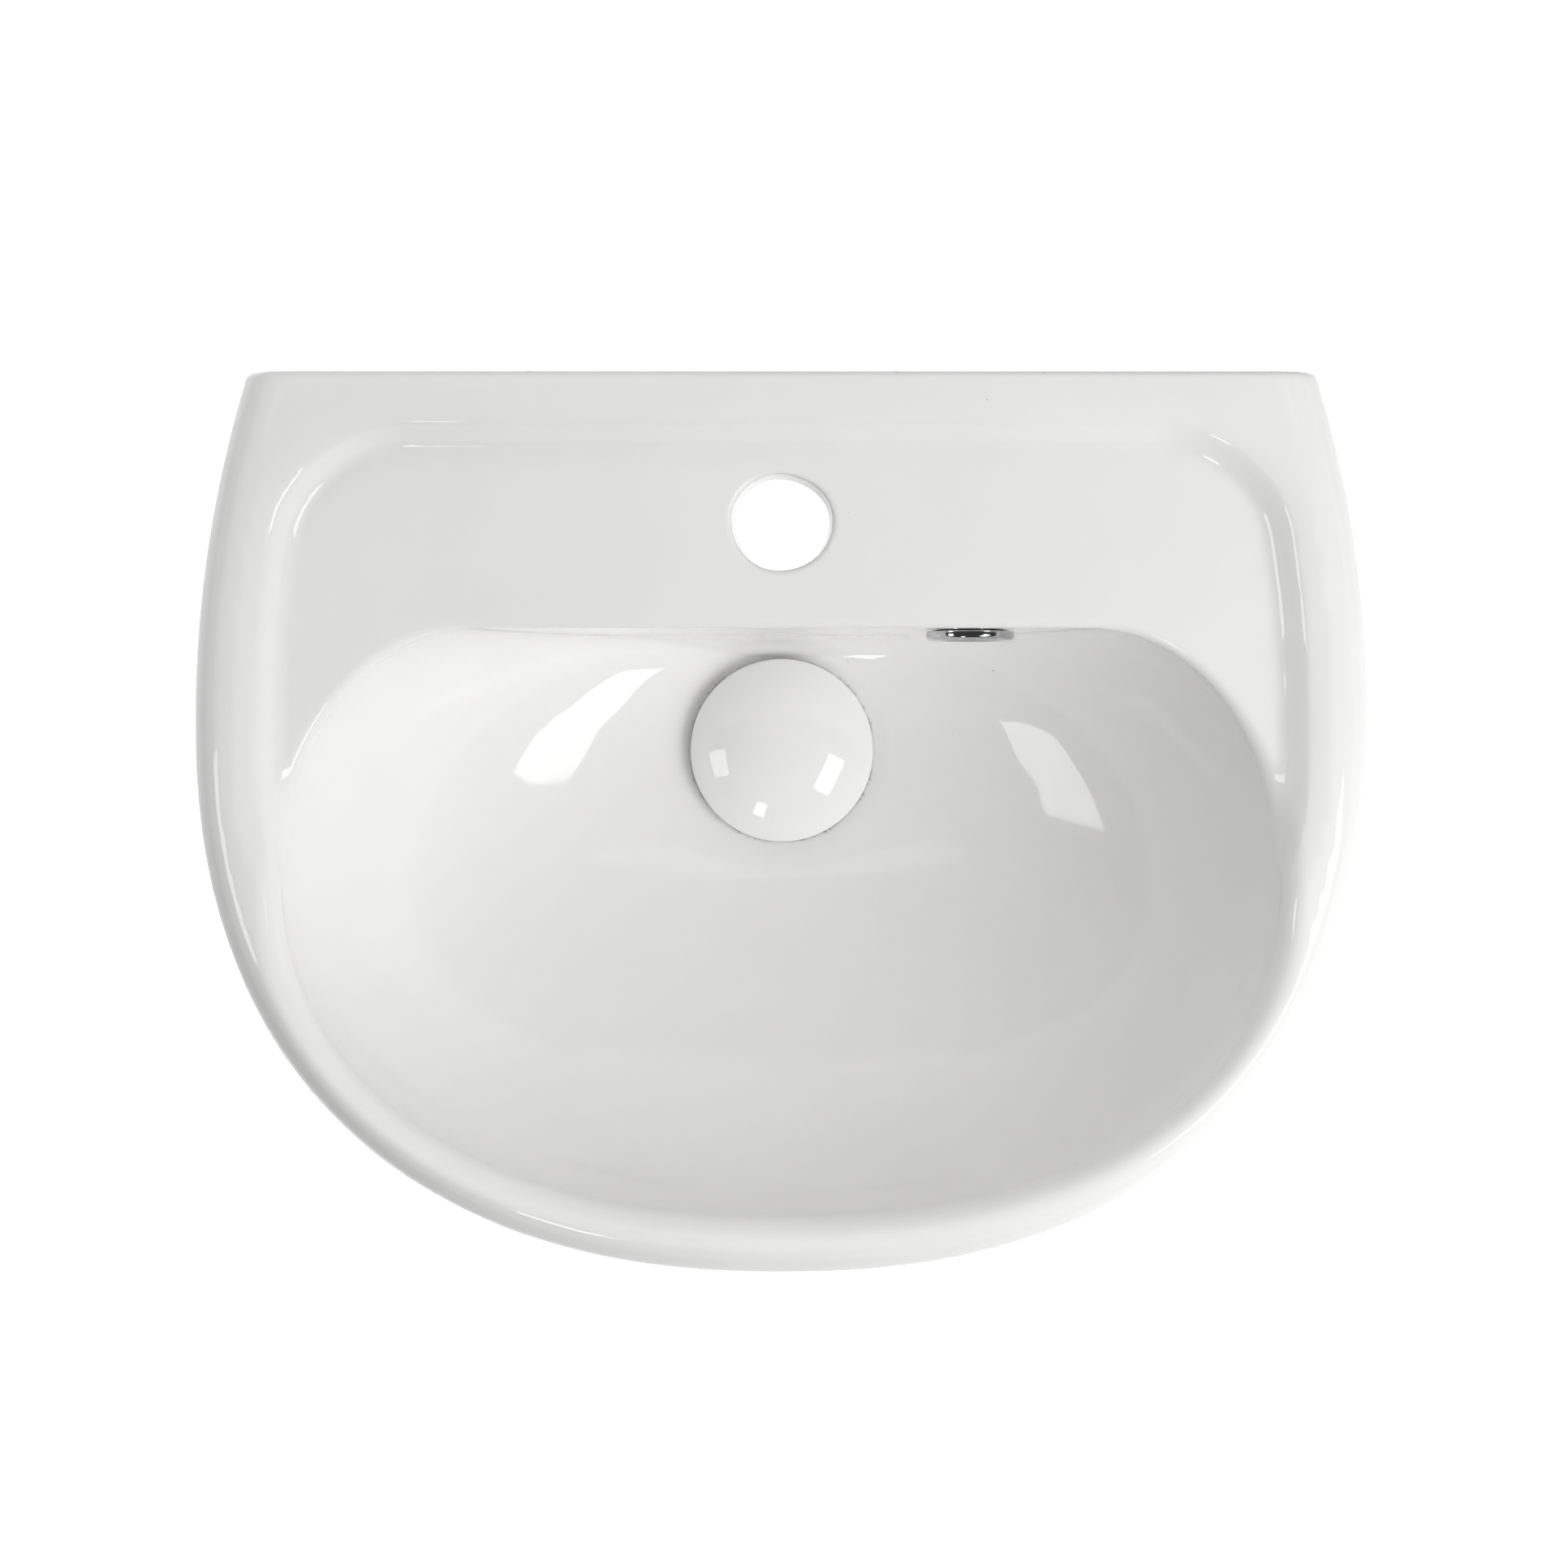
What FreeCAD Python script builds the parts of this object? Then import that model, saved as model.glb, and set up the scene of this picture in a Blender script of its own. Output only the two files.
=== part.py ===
import FreeCAD, Part
import math
import os
import Sketcher

# Small wall-hung hand basin in vitreous china, with its chrome overflow ring and its click waste.
# Frame: the origin lies on the wall, midway between the two fixing bolts. +X is to the right, +Z is up
# and the basin reaches out from the wall towards -Y. "depth" is a distance forward from the wall.

V = FreeCAD.Vector

# Driving dimensions, in millimetres, apart from the fullness exponents and the counts.
SIZES = {
    # outline of the ceramic rim
    "basin_width": 405.0,
    "basin_depth": 310.0,
    "back_taper": 18.0,
    "widest_depth": 119.0,
    "front_fullness": 2.3,
    "rim_over_bolts": 60.0,
    "lip_height": 30.0,
    "lip_roll": 13.0,
    "lip_draft": 2.0,
    # sunk deck round the tap hole
    "deck_drop": 9.0,
    "rim_back": 16.5,
    "rim_side": 21.0,
    "step_run": 12.0,
    "deck_corner": 40.0,
    "deck_reach": 200.0,
    "deck_fullness": 4.0,
    "tap_setback": 51.2,
    "tap_hole_r": 17.5,
    # bowl
    "ledge_depth": 87.6,
    "bowl_corner": 65.0,
    "back_lean": 7.0,
    "side_band": 30.5,
    "bowl_widest_depth": 172.0,
    "front_band": 20.0,
    "bowl_front_fullness": 2.25,
    "bowl_edge": 6.5,
    "ledge_roll": 4.0,
    "bowl_drop": 106.0,
    "bowl_fullness": 1.6,
    "floor_r": 36.0,
    "floor_flat": 20.0,
    # ceramic walls, wall panel and hollow behind the bowl
    "wall": 12.0,
    "floor_wall": 16.0,
    "panel": 12.0,
    "drill_over": 1.0,
    "box_inset": 34.5,
    "box_taper": 52.0,
    "box_top_reach": 150.0,
    "box_foot_reach": 104.0,
    "box_corner": 45.0,
    "bolt_spacing": 180.0,
    "bolt_hole_r": 6.5,
    # overflow passage
    "eye_inset": 41.0,
    "eye_drop": 33.0,
    "eye_r": 12.0,
    "duct_width": 30.0,
    "duct_thick": 13.0,
    "duct_wall": 7.0,
    # waste hole
    "waste_setback": 129.0,
    "waste_hole_r": 23.0,
    "boss_r": 38.0,
    "boss_foot_r": 35.0,
    "boss_drop": 42.0,
    # overflow ring
    "ring_r": 15.5,
    "ring_bore_r": 10.2,
    "ring_thick": 2.4,
    "ring_sleeve": 10.0,
    "ring_sleeve_wall": 1.4,
    "ring_slot": 3.0,
    "ring_bevel": 0.9,
    "ring_stand_off": 0.5,
    "ring_slots": 3,
    # waste body
    "flange_r": 32.0,
    "flange_thick": 2.5,
    "flange_room": 0.7,
    "seat_r": 23.0,
    "seat_drop": 6.0,
    "neck_r": 22.5,
    "neck_tall": 9.0,
    "tail_r": 20.95,
    "tail_bore_r": 18.5,
    "tail_length": 88.0,
    "runout_gap": 1.0,
    "runout_tall": 2.0,
    "runout_deep": 0.7,
    "window_top": 14.0,
    "window_tall": 16.0,
    "window_wide": 11.0,
    "windows": 4,
    "hub_top": 34.0,
    "hub_tall": 6.0,
    "hub_r": 11.0,
    "arm_wide": 5.0,
    "arms": 3,
    # seals and nut under the boss
    "gasket_thick": 2.0,
    "gasket_edge": 1.0,
    "cone_thick": 5.0,
    "cone_r": 33.0,
    "cone_spigot": 4.0,
    "cone_taper": 1.0,
    "thread_play": 0.05,
    "washer_thick": 1.6,
    "washer_r": 31.0,
    "nut_tall": 10.0,
    "nut_corner_r": 29.0,
    "nut_flange_r": 31.5,
    "nut_flange_thick": 2.5,
    # cap
    "cap_gap": 2.5,
    "cap_r": 33.5,
    "cap_edge": 2.5,
    "cap_bevel": 1.0,
    "cap_rise": 11.0,
    "plate_r": 25.0,
    "plate_thick": 3.5,
    "plate_sink": 3.0,
    "cement_gap": 0.1,
    "plate_boss_r": 7.0,
    "plate_boss_tall": 8.0,
    "seal_r": 22.3,
    "seal_foot_r": 21.1,
    "seal_width": 4.5,
    "seal_tall": 3.8,
    "seal_edge": 1.1,
    "stud_r": 3.0,
    "stud_grip": 9.0,
    "locknut_tall": 2.5,
    "locknut_corner_r": 5.8,
    # click cartridge
    "lift": 8.0,
    "barrel_top": 26.0,
    "barrel_head_r": 10.5,
    "barrel_roof": 3.0,
    "barrel_r": 8.0,
    "barrel_wall": 1.7,
    "barrel_length": 44.0,
    "barrel_washer_thick": 1.0,
    "plunger_r": 5.0,
    "slide_play": 0.3,
    "shoulder_play": 0.4,
    "roof_room": 1.5,
    "shoulder_tall": 7.5,
    "groove_drop": 3.0,
    "ring_wire_r": 0.7,
    "ring_flat": 0.35,
    "groove_play": 0.1,
    "rotor_tall": 8.0,
    "rotor_bore_r": 2.6,
    "rotor_notches": 8,
    "notch_deep": 1.4,
    "notch_wide": 2.2,
    "spring_wire_r": 0.4,
    "spring_r": 4.4,
    "spring_play": 0.3,
    "spring_turns": 4,
    "end_cap_flange": 2.0,
    "end_cap_grip": 4.0,
    "end_cap_play": 0.05,
    "drain_r": 1.5,
}

doc = FreeCAD.newDocument("wall_hung_basin")
sheet = doc.addObject("Spreadsheet::Sheet", "Sizes")
for row, (alias, number) in enumerate(SIZES.items(), start=1):
    sheet.set(f"A{row}", alias.replace("_", " "))
    sheet.set(f"B{row}", str(number))
    sheet.setAlias(f"B{row}", alias)
doc.recompute()


def size(alias):
    """The number in the sheet's cell of that name."""
    return float(sheet.get(alias))


def terms(text):
    """Signed words of a sum such as "cap_gap + cap_edge" or "- flange_thick"."""
    sign = 1
    for word in text.split():
        if word in "+-":
            sign = 1 if word == "+" else -1
        else:
            yield sign, word


def total(text):
    """Value of a sum of sizes."""
    return sum(sign * (size(word) if word in SIZES else float(word)) for sign, word in terms(text))


def bound(text):
    """The same sum as an expression on the sheet."""
    parts = []
    for sign, word in terms(text):
        name = f"Sizes.{word}" if word in SIZES else word
        parts.append(f"{'+' if sign > 0 else '-'} {name}")
    return "0 " + " ".join(parts)


# Levels that several pieces share.
FLOOR = "rim_over_bolts - bowl_drop"
rim_z = size("rim_over_bolts")
deck_z = rim_z - size("deck_drop")
floor_z = rim_z - size("bowl_drop")
hull_foot_z = floor_z - size("floor_wall")

# The overflow eye sits eye_inset short of the end of the bowl's straight back edge.
EYE_X = "Sizes.basin_width / 2 - Sizes.side_band - Sizes.bowl_corner - Sizes.eye_inset"
eye_x = size("basin_width") / 2 - total("side_band + bowl_corner + eye_inset")

ROUND = 2.0     # fullness of an ellipse


def at_depth(x, depth, z):
    return V(x, -depth, z)


def quarter_edge(start, corner, end, fullness):
    """Quarter turn from start to end, tangent to both lines to the corner, as one cubic curve.

    The handles are as long as makes it pass through the middle point of a superellipse of that fullness,
    so 2 is a quarter of an ellipse, and more is squarer.
    """
    reach = (8 * 2 ** (-1 / fullness) - 4) / 3
    curve = Part.BezierCurve()
    curve.setPoles([start, start + (corner - start) * reach, end + (corner - end) * reach, end])
    return curve.toShape()


def front_edge(half, wide_depth, front_depth, fullness, z):
    """From the widest point round to the middle of the front."""
    return quarter_edge(at_depth(half, wide_depth, z), at_depth(half, front_depth, z),
                        at_depth(0, front_depth, z), fullness)


def corner_edge(flat_half, back_depth, half, wide_depth, z):
    """From the end of the straight back round to the widest point."""
    return quarter_edge(at_depth(flat_half, back_depth, z), at_depth(half, back_depth, z),
                        at_depth(half, wide_depth, z), ROUND)


def line(start, end):
    return Part.LineSegment(start, end).toShape()


def symmetric_wire(right_edges):
    """Closed wire from the edges of its right half, which run from the back to the front."""
    left_edges = [edge.mirror(V(0, 0, 0), V(1, 0, 0)) for edge in right_edges]
    return Part.Wire(Part.__sortEdges__(right_edges + left_edges))


def side_arc_radius():
    """Radius of the gently bowed sides: they are widest at widest_depth, and narrower at the wall."""
    spread = size("back_taper")
    return (size("widest_depth") ** 2 + spread ** 2) / (2 * spread)


def side_half(half, depth):
    """Half width of a bowed side at a depth, where half is its half width at the widest place."""
    radius = side_arc_radius()
    return half - radius + math.sqrt(radius ** 2 - (depth - size("widest_depth")) ** 2)


def side_edge(half, from_depth, z):
    wide_depth = size("widest_depth")
    middle = (from_depth + wide_depth) / 2
    ends = [at_depth(side_half(half, depth), depth, z) for depth in (from_depth, middle, wide_depth)]
    return Part.Arc(*ends).toShape()


def feature(label, shape):
    """Document object that holds a shape made of curves."""
    item = doc.addObject("Part::Feature", label)
    item.Label = label
    item.Shape = shape
    return item


def fused(label, *pieces):
    """Union of document objects."""
    item = doc.addObject("Part::MultiFuse", label)
    item.Label = label
    item.Shapes = list(pieces)
    return item


def cut(label, base, *tools):
    """Base with each tool taken from it in turn; the last cut carries the label."""
    for tool in tools:
        item = doc.addObject("Part::Cut", f"less_{tool.Name}" if tool is not tools[-1] else label)
        item.Base = base
        item.Tool = tool
        base = item
    base.Label = label
    return base


def cylinder(label, radius, height, x="0", y="0", z="0", tilt=None):
    """Part cylinder whose sizes and place are sums of sheet sizes; tilt turns it about X."""
    item = doc.addObject("Part::Cylinder", label)
    item.Label = label
    item.setExpression("Radius", bound(radius))
    item.setExpression("Height", bound(height))
    if tilt is not None:
        item.Placement.Rotation = FreeCAD.Rotation(V(1, 0, 0), tilt)
    for axis, text in zip("xyz", (x, y, z)):
        item.setExpression(f"Placement.Base.{axis}", bound(text))
    return item


# Ceramic basin: the outside is the rolled lip, the belly of the bowl and a box against the wall.

WALL_CUT = 5.0      # the lip and the box are made this much too deep, then cut flat at the wall
TOOL_OVER = 0.1     # cutters stand this much above the surface that they cut


def lip_wire(z, inset):
    half = size("basin_width") / 2 - inset
    rear = side_half(half, -WALL_CUT)
    return symmetric_wire([
        line(at_depth(0, -WALL_CUT, z), at_depth(rear, -WALL_CUT, z)),
        side_edge(half, -WALL_CUT, z),
        front_edge(half, size("widest_depth"), size("basin_depth") - inset, size("front_fullness"), z),
    ])


def loft(wires):
    """Solid skinned through level wires, with straight rulings from one to the next."""
    return Part.makeLoft(wires, True, True)


def shares(steps):
    return [i / steps for i in range(steps + 1)]


def rolled_lip():
    """Rim from its lower edge up to the quarter round that rolls it over."""
    roll = size("lip_roll")
    wires = [lip_wire(rim_z - size("lip_height"), size("lip_draft"))]
    for share in shares(4):
        turn = math.radians(90) * share
        wires.append(lip_wire(rim_z - roll * (1 - math.sin(turn)), roll * (1 - math.cos(turn))))
    return loft(wires)


def bowl_share(drop_share):
    """Share of the way from the floor ring out to the rim, at a share of the way down to the floor."""
    fullness = size("bowl_fullness")
    return max(0.0, 1 - drop_share ** fullness) ** (1 / fullness)


def bowl_wire(z, foot_z, offset, floor_offset, grow=0.0, edge_roll=0.0):
    """Level section of the bowl, or of its outside when it is offset by the wall."""
    sunk = max(0.0, deck_z - z) / (deck_z - foot_z)
    share = bowl_share(sunk)
    ring = size("floor_r") + floor_offset
    ring_flat = size("floor_flat") / 2
    rim_half = size("basin_width") / 2 - size("side_band")
    front = size("basin_depth") - size("front_band") + offset
    half = ring + (rim_half + offset - ring) * share + grow
    flat_half = ring_flat + (rim_half - size("bowl_corner") - ring_flat) * share
    wide_depth = size("waste_setback") + (size("bowl_widest_depth") - size("waste_setback")) * share
    front_depth = size("waste_setback") + ring
    front_depth += (front - front_depth) * share + grow
    back_depth = size("ledge_depth") - offset + size("back_lean") * sunk ** 3 - edge_roll
    return symmetric_wire([
        line(at_depth(0, back_depth, z), at_depth(flat_half, back_depth, z)),
        corner_edge(flat_half, back_depth, half, wide_depth, z),
        front_edge(half, wide_depth, front_depth, size("bowl_front_fullness"), z),
    ])


def bowl_levels(from_z, foot_z, steps):
    """Levels from the top of a bowl down to its foot, closer together where the floor flattens."""
    return [foot_z + (from_z - foot_z) * (1 - share) ** 1.5 for share in shares(steps)]


def bowl_cutter():
    """Hollow of the bowl, with the rounded edge where it meets the rim and the deck."""
    edge = size("bowl_edge")
    ledge = size("ledge_roll")
    over = size("deck_drop") + TOOL_OVER
    wires = []
    for share in shares(3):
        turn = math.radians(90) * (1 - share)
        grow = edge * (1 - math.cos(turn))
        wires.append(bowl_wire(deck_z + over * math.sin(turn), floor_z, 0, 0, grow, ledge + grow))
    wires += [bowl_wire(z, floor_z, 0, 0) for z in bowl_levels(deck_z - ledge, floor_z, 8)]
    return loft(wires)


def belly():
    """Outside of the bowl: the same sections, a wall thickness further out and lower."""
    top_z = rim_z - size("lip_height") + size("wall")
    return loft([bowl_wire(z, hull_foot_z, size("wall"), size("floor_wall"))
                 for z in bowl_levels(top_z, hull_foot_z, 6)])


def box_wire(z, half, reach, corner):
    return symmetric_wire([
        line(at_depth(0, -WALL_CUT, z), at_depth(half, -WALL_CUT, z)),
        line(at_depth(half, -WALL_CUT, z), at_depth(half, reach - corner, z)),
        quarter_edge(at_depth(half, reach - corner, z), at_depth(half, reach, z),
                     at_depth(half - corner, reach, z), ROUND),
        line(at_depth(half - corner, reach, z), at_depth(0, reach, z)),
    ])


def wall_box(inset, top_z, foot_z):
    """Box that carries the bowl on the wall, narrower at its foot; inset makes its hollow."""
    corner = size("box_corner") - inset
    top_half = size("basin_width") / 2 - size("box_inset") - inset
    return loft([
        box_wire(top_z, top_half, size("box_top_reach") - inset, corner),
        box_wire(foot_z, top_half - size("box_taper"), size("box_foot_reach") - inset, corner),
    ])


def deck_wire(z, inset):
    half = size("basin_width") / 2 - size("rim_side") - inset
    back_depth = size("rim_back") + inset
    corner = size("deck_corner") - inset
    corner_end = side_half(half, back_depth + corner)
    return symmetric_wire([
        line(at_depth(0, back_depth, z), at_depth(corner_end - corner, back_depth, z)),
        corner_edge(corner_end - corner, back_depth, corner_end, back_depth + corner, z),
        side_edge(half, back_depth + corner, z),
        front_edge(half, size("widest_depth"), size("deck_reach") - inset, size("deck_fullness"), z),
    ])


def deck_cutter():
    """Recess of the tap deck, whose sides fall in an S from the rim to the deck."""
    drop = size("deck_drop") + TOOL_OVER
    run = size("step_run")
    wires = []
    for share in shares(5):
        rise = drop * (3 * share ** 2 - 2 * share ** 3)
        wires.append(deck_wire(deck_z + rise, run * (1 - share)))
    return loft(wires)


def block_wire(centre_x, half, back_depth, front_depth, z):
    corners = [at_depth(centre_x - half, back_depth, z), at_depth(centre_x + half, back_depth, z),
               at_depth(centre_x + half, front_depth, z), at_depth(centre_x - half, front_depth, z)]
    return Part.makePolygon(corners + corners[:1])


def overflow_passage(shell):
    """Flat duct from the overflow eye down behind the bowl, then aslant under it to the waste.

    The space under the tap hole stays clear. shell is the thickness of the clay round the duct.
    """
    half = size("duct_width") / 2 + shell
    front_depth = size("ledge_depth") - size("wall")
    back_depth = front_depth - size("duct_thick") - shell
    eye_z = rim_z - size("eye_drop")
    window_z = floor_z - size("window_top")
    foot_z = window_z - size("window_tall") - shell
    front = front_depth + shell / 2
    drop = loft([block_wire(eye_x, half, back_depth, front, eye_z + size("eye_r") + shell / 2),
                 block_wire(eye_x, half, back_depth, front, foot_z)])
    tall = window_z + shell - foot_z
    end = at_depth(0, size("waste_setback"), foot_z)
    start = at_depth(eye_x, front_depth - size("duct_thick") / 2, foot_z)
    along = (end - start).normalize()
    start = start - along * shell
    across = V(-along.y, along.x, 0) * half
    plan = Part.makePolygon([start - across, start + across, end + across, end - across, start - across])
    behind = Part.makeBox(4 * half, 4 * half, tall, at_depth(eye_x - 2 * half, back_depth, foot_z))
    run = Part.Face(plan).extrude(V(0, 0, tall)).cut(behind)
    return drop.fuse(run)


def slab(label, front):
    """Everything behind a plane that stands this far in front of the wall."""
    item = doc.addObject("Part::Box", label)
    item.setExpression("Length", "2 * Sizes.basin_width")
    item.setExpression("Height", "4 * Sizes.bowl_drop")
    item.setExpression("Width", f"Sizes.basin_depth + {bound(front)}")
    item.setExpression("Placement.Base.x", "-Sizes.basin_width")
    item.setExpression("Placement.Base.y", f"-({bound(front)})")
    item.setExpression("Placement.Base.z", "-2 * Sizes.bowl_drop")
    return item


def basin_body():
    lip = feature("lip", rolled_lip())
    wall = size("wall")
    box = feature("wall_box", wall_box(0, rim_z - size("lip_height") + wall, hull_foot_z))
    bay = feature("bay", wall_box(wall, deck_z - wall, hull_foot_z - TOOL_OVER))
    hollow = cut("rear_hollow", bay, slab("panel_slab", "panel"))
    open_frame = cut("open_frame", fused("rim_and_box", lip, box), hollow, slab("beyond_wall", "0"))

    boss = doc.addObject("Part::Cone", "waste_boss")
    boss.setExpression("Radius1", "Sizes.boss_foot_r")
    boss.setExpression("Radius2", "Sizes.boss_r")
    boss.setExpression("Height", "Sizes.boss_drop - Sizes.flange_thick - Sizes.gasket_thick")
    boss.setExpression("Placement.Base.y", "-Sizes.waste_setback")
    boss.setExpression("Placement.Base.z", bound(FLOOR + " - boss_drop"))
    duct_case = feature("duct_case", overflow_passage(size("duct_wall")))
    clay = fused("clay", open_frame, feature("belly", belly()), boss, duct_case)

    tap_hole = cylinder("tap_hole", "tap_hole_r", "wall + deck_drop", "0", "- tap_setback",
                        "rim_over_bolts - deck_drop - wall - drill_over")
    waste_hole = cylinder("waste_hole", "waste_hole_r", "boss_drop + floor_wall", "0", "- waste_setback",
                          FLOOR + " - boss_drop - drill_over")
    flange_seat = cylinder("flange_seat", "flange_r + flange_room", "flange_thick + gasket_thick", "0",
                           "- waste_setback", FLOOR + " - flange_thick - gasket_thick")
    eye = cylinder("overflow_eye", "eye_r", "wall + back_lean + duct_thick", "0",
                   "wall + drill_over - ledge_depth", "rim_over_bolts - eye_drop", tilt=90)
    eye.setExpression("Placement.Base.x", EYE_X)
    bolt_holes = [cylinder(f"bolt_hole_{side}", "bolt_hole_r", "panel + drill_over + drill_over", "0",
                           "drill_over", "0", tilt=90) for side in ("left", "right")]
    for sign, hole in zip((-1, 1), bolt_holes):
        hole.setExpression("Placement.Base.x", f"{sign} * Sizes.bolt_spacing / 2")
    return cut("basin_body", clay, feature("deck_recess", deck_cutter()), feature("bowl", bowl_cutter()),
               feature("overflow_duct", overflow_passage(0)), tap_hole, waste_hole, flange_seat, eye,
               *bolt_holes)


# Turned pieces: each is a body whose half section is a sketch bound to the sheet. Heights are measured
# from the floor of the bowl, along the axis of the waste.

def origin_feature(body, role):
    return [item for item in body.Origin.OriginFeatures if item.Role == role][0]


def attached_sketch(body, name, role):
    sketch = body.newObject("Sketcher::SketchObject", name)
    sketch.AttachmentSupport = [(origin_feature(body, role), "")]
    sketch.MapMode = "FlatFace"
    return sketch


def dome_arc(start, end):
    """Arc about a point of the axis, from the outer point start up to the point end on the axis."""
    rise = end.y - start.y
    radius = (start.x ** 2 + rise ** 2) / (2 * rise)
    circle = Part.Circle(V(0, end.y - radius, 0), V(0, 0, 1), radius)
    return Part.ArcOfCircle(circle, math.atan2(start.y - end.y + radius, start.x), math.radians(90))


def closed_profile(body, name, role, corners, domed=()):
    """Closed sketch through corners given as sums of sizes; a domed side bulges about the axis."""
    sketch = attached_sketch(body, name, role)
    points = [V(total(across), total(along), 0) for across, along in corners]
    for i, start in enumerate(points):
        end = points[(i + 1) % len(points)]
        sketch.addGeometry(dome_arc(start, end) if i in domed else Part.LineSegment(start, end))
    for i, (across, along) in enumerate(corners):
        sketch.addConstraint(Sketcher.Constraint("Coincident", (i - 1) % len(points), 2, i, 1))
        for kind, text, place in (("DistanceX", across, points[i].x), ("DistanceY", along, points[i].y)):
            index = sketch.addConstraint(Sketcher.Constraint(kind, -1, 1, i, 1, place))
            sketch.setExpression(f"Constraints[{index}]", bound(text))
        if i in domed:
            sketch.addConstraint(Sketcher.Constraint("PointOnObject", i, 3, -2))
    return sketch


def circle_profile(body, name, radius, height):
    """Circle about the axis, on a level plane."""
    sketch = attached_sketch(body, name, "XY_Plane")
    sketch.setExpression("AttachmentOffset.Base.z", bound(height))
    sketch.addGeometry(Part.Circle(V(0, 0, 0), V(0, 0, 1), total(radius)))
    sketch.addConstraint(Sketcher.Constraint("Coincident", 0, 3, -1, 1))
    index = sketch.addConstraint(Sketcher.Constraint("Radius", 0, total(radius)))
    sketch.setExpression(f"Constraints[{index}]", bound(radius))
    return sketch


def on_waste_axis(item, height=""):
    """Put an item on the axis of the waste, at a signed height over the floor of the bowl."""
    item.setExpression("Placement.Base.y", "-Sizes.waste_setback")
    item.setExpression("Placement.Base.z", bound(f"{FLOOR} {height}"))
    return item


def turned(label, corners, domed=()):
    body = doc.addObject("PartDesign::Body", label)
    body.Label = label
    profile = closed_profile(body, label + "_profile", "XZ_Plane", corners, domed)
    turn = body.newObject("PartDesign::Revolution", label + "_turn")
    turn.Profile = profile
    turn.ReferenceAxis = (profile, ["V_Axis"])
    turn.Angle = 360
    return body


def tube(inner, outer, top, foot):
    """Corners of a plain ring."""
    return [(inner, top), (outer, top), (outer, foot), (inner, foot)]


def repeated(body, original, count):
    """Copies of a feature about the axis of the body."""
    pattern = body.newObject("PartDesign::PolarPattern", original.Name + "_round")
    pattern.Originals = [original]
    pattern.Axis = (origin_feature(body, "Z_Axis"), [""])
    pattern.Angle = 360
    pattern.setExpression("Occurrences", f"Sizes.{count}")
    body.Tip = pattern
    return pattern


def radial_cut(body, name, half_width, top, foot, count):
    """Openings through one side of the wall, repeated round the axis."""
    sketch = attached_sketch(body, name + "_sketch", "XZ_Plane")
    half, high, low = total(half_width) / 2, total(top), total(foot)
    points = [V(-half, high, 0), V(half, high, 0), V(half, low, 0), V(-half, low, 0)]
    for i, start in enumerate(points):
        sketch.addGeometry(Part.LineSegment(start, points[(i + 1) % 4]))
    for i, (side, text) in enumerate((("-", top), ("", top), ("", foot), ("-", foot))):
        sketch.addConstraint(Sketcher.Constraint("Coincident", (i - 1) % 4, 2, i, 1))
        index = sketch.addConstraint(Sketcher.Constraint("DistanceX", -1, 1, i, 1, points[i].x))
        sketch.setExpression(f"Constraints[{index}]", f"{side}({bound(half_width)}) / 2")
        index = sketch.addConstraint(Sketcher.Constraint("DistanceY", -1, 1, i, 1, points[i].y))
        sketch.setExpression(f"Constraints[{index}]", bound(text))
    pocket = body.newObject("PartDesign::Pocket", name)
    pocket.Profile = sketch
    pocket.Type = "ThroughAll"
    body.Tip = pocket
    return repeated(body, pocket, count)


# Overflow ring: a pressed chrome ring whose split sleeve grips the eye in the back wall of the bowl.

def overflow_ring():
    sleeve_r = "ring_bore_r + ring_sleeve_wall"
    body = turned("overflow_ring", [
        ("ring_bore_r", "ring_thick - ring_bevel"), ("ring_bore_r + ring_bevel", "ring_thick"),
        ("ring_r - ring_bevel", "ring_thick"), ("ring_r", "ring_thick - ring_bevel"), ("ring_r", "0"),
        (sleeve_r, "0"), (sleeve_r, "- ring_sleeve"), ("ring_bore_r", "- ring_sleeve")])
    radial_cut(body, "sleeve_slot", "ring_slot", "- ring_stand_off - ring_sleeve_wall",
               "- ring_sleeve - ring_bevel", "ring_slots")
    body.Placement.Rotation = FreeCAD.Rotation(V(1, 0, 0), 90)
    body.setExpression("Placement.Base.x", EYE_X)
    body.setExpression("Placement.Base.y", bound("- ledge_depth - ring_stand_off"))
    body.setExpression("Placement.Base.z", bound("rim_over_bolts - eye_drop"))
    return body


# Waste body: chromed brass casting with a flange, a conical seat and a threaded tail. Windows in the
# tail let the overflow in, and a three-armed cross-bar carries the hub for the click cartridge.

HUB_FOOT = "- hub_top - hub_tall"

# Levels of the stack under the boss. A run-out groove parts the thread of its nut from that of the trap.
GASKET_FOOT = "- boss_drop - cone_thick"
WASHER_FOOT = GASKET_FOOT + " - washer_thick"
NUT_FOOT = WASHER_FOOT + " - nut_tall"
RUNOUT_TOP = NUT_FOOT + " - runout_gap"
RUNOUT_FOOT = RUNOUT_TOP + " - runout_tall"


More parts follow.
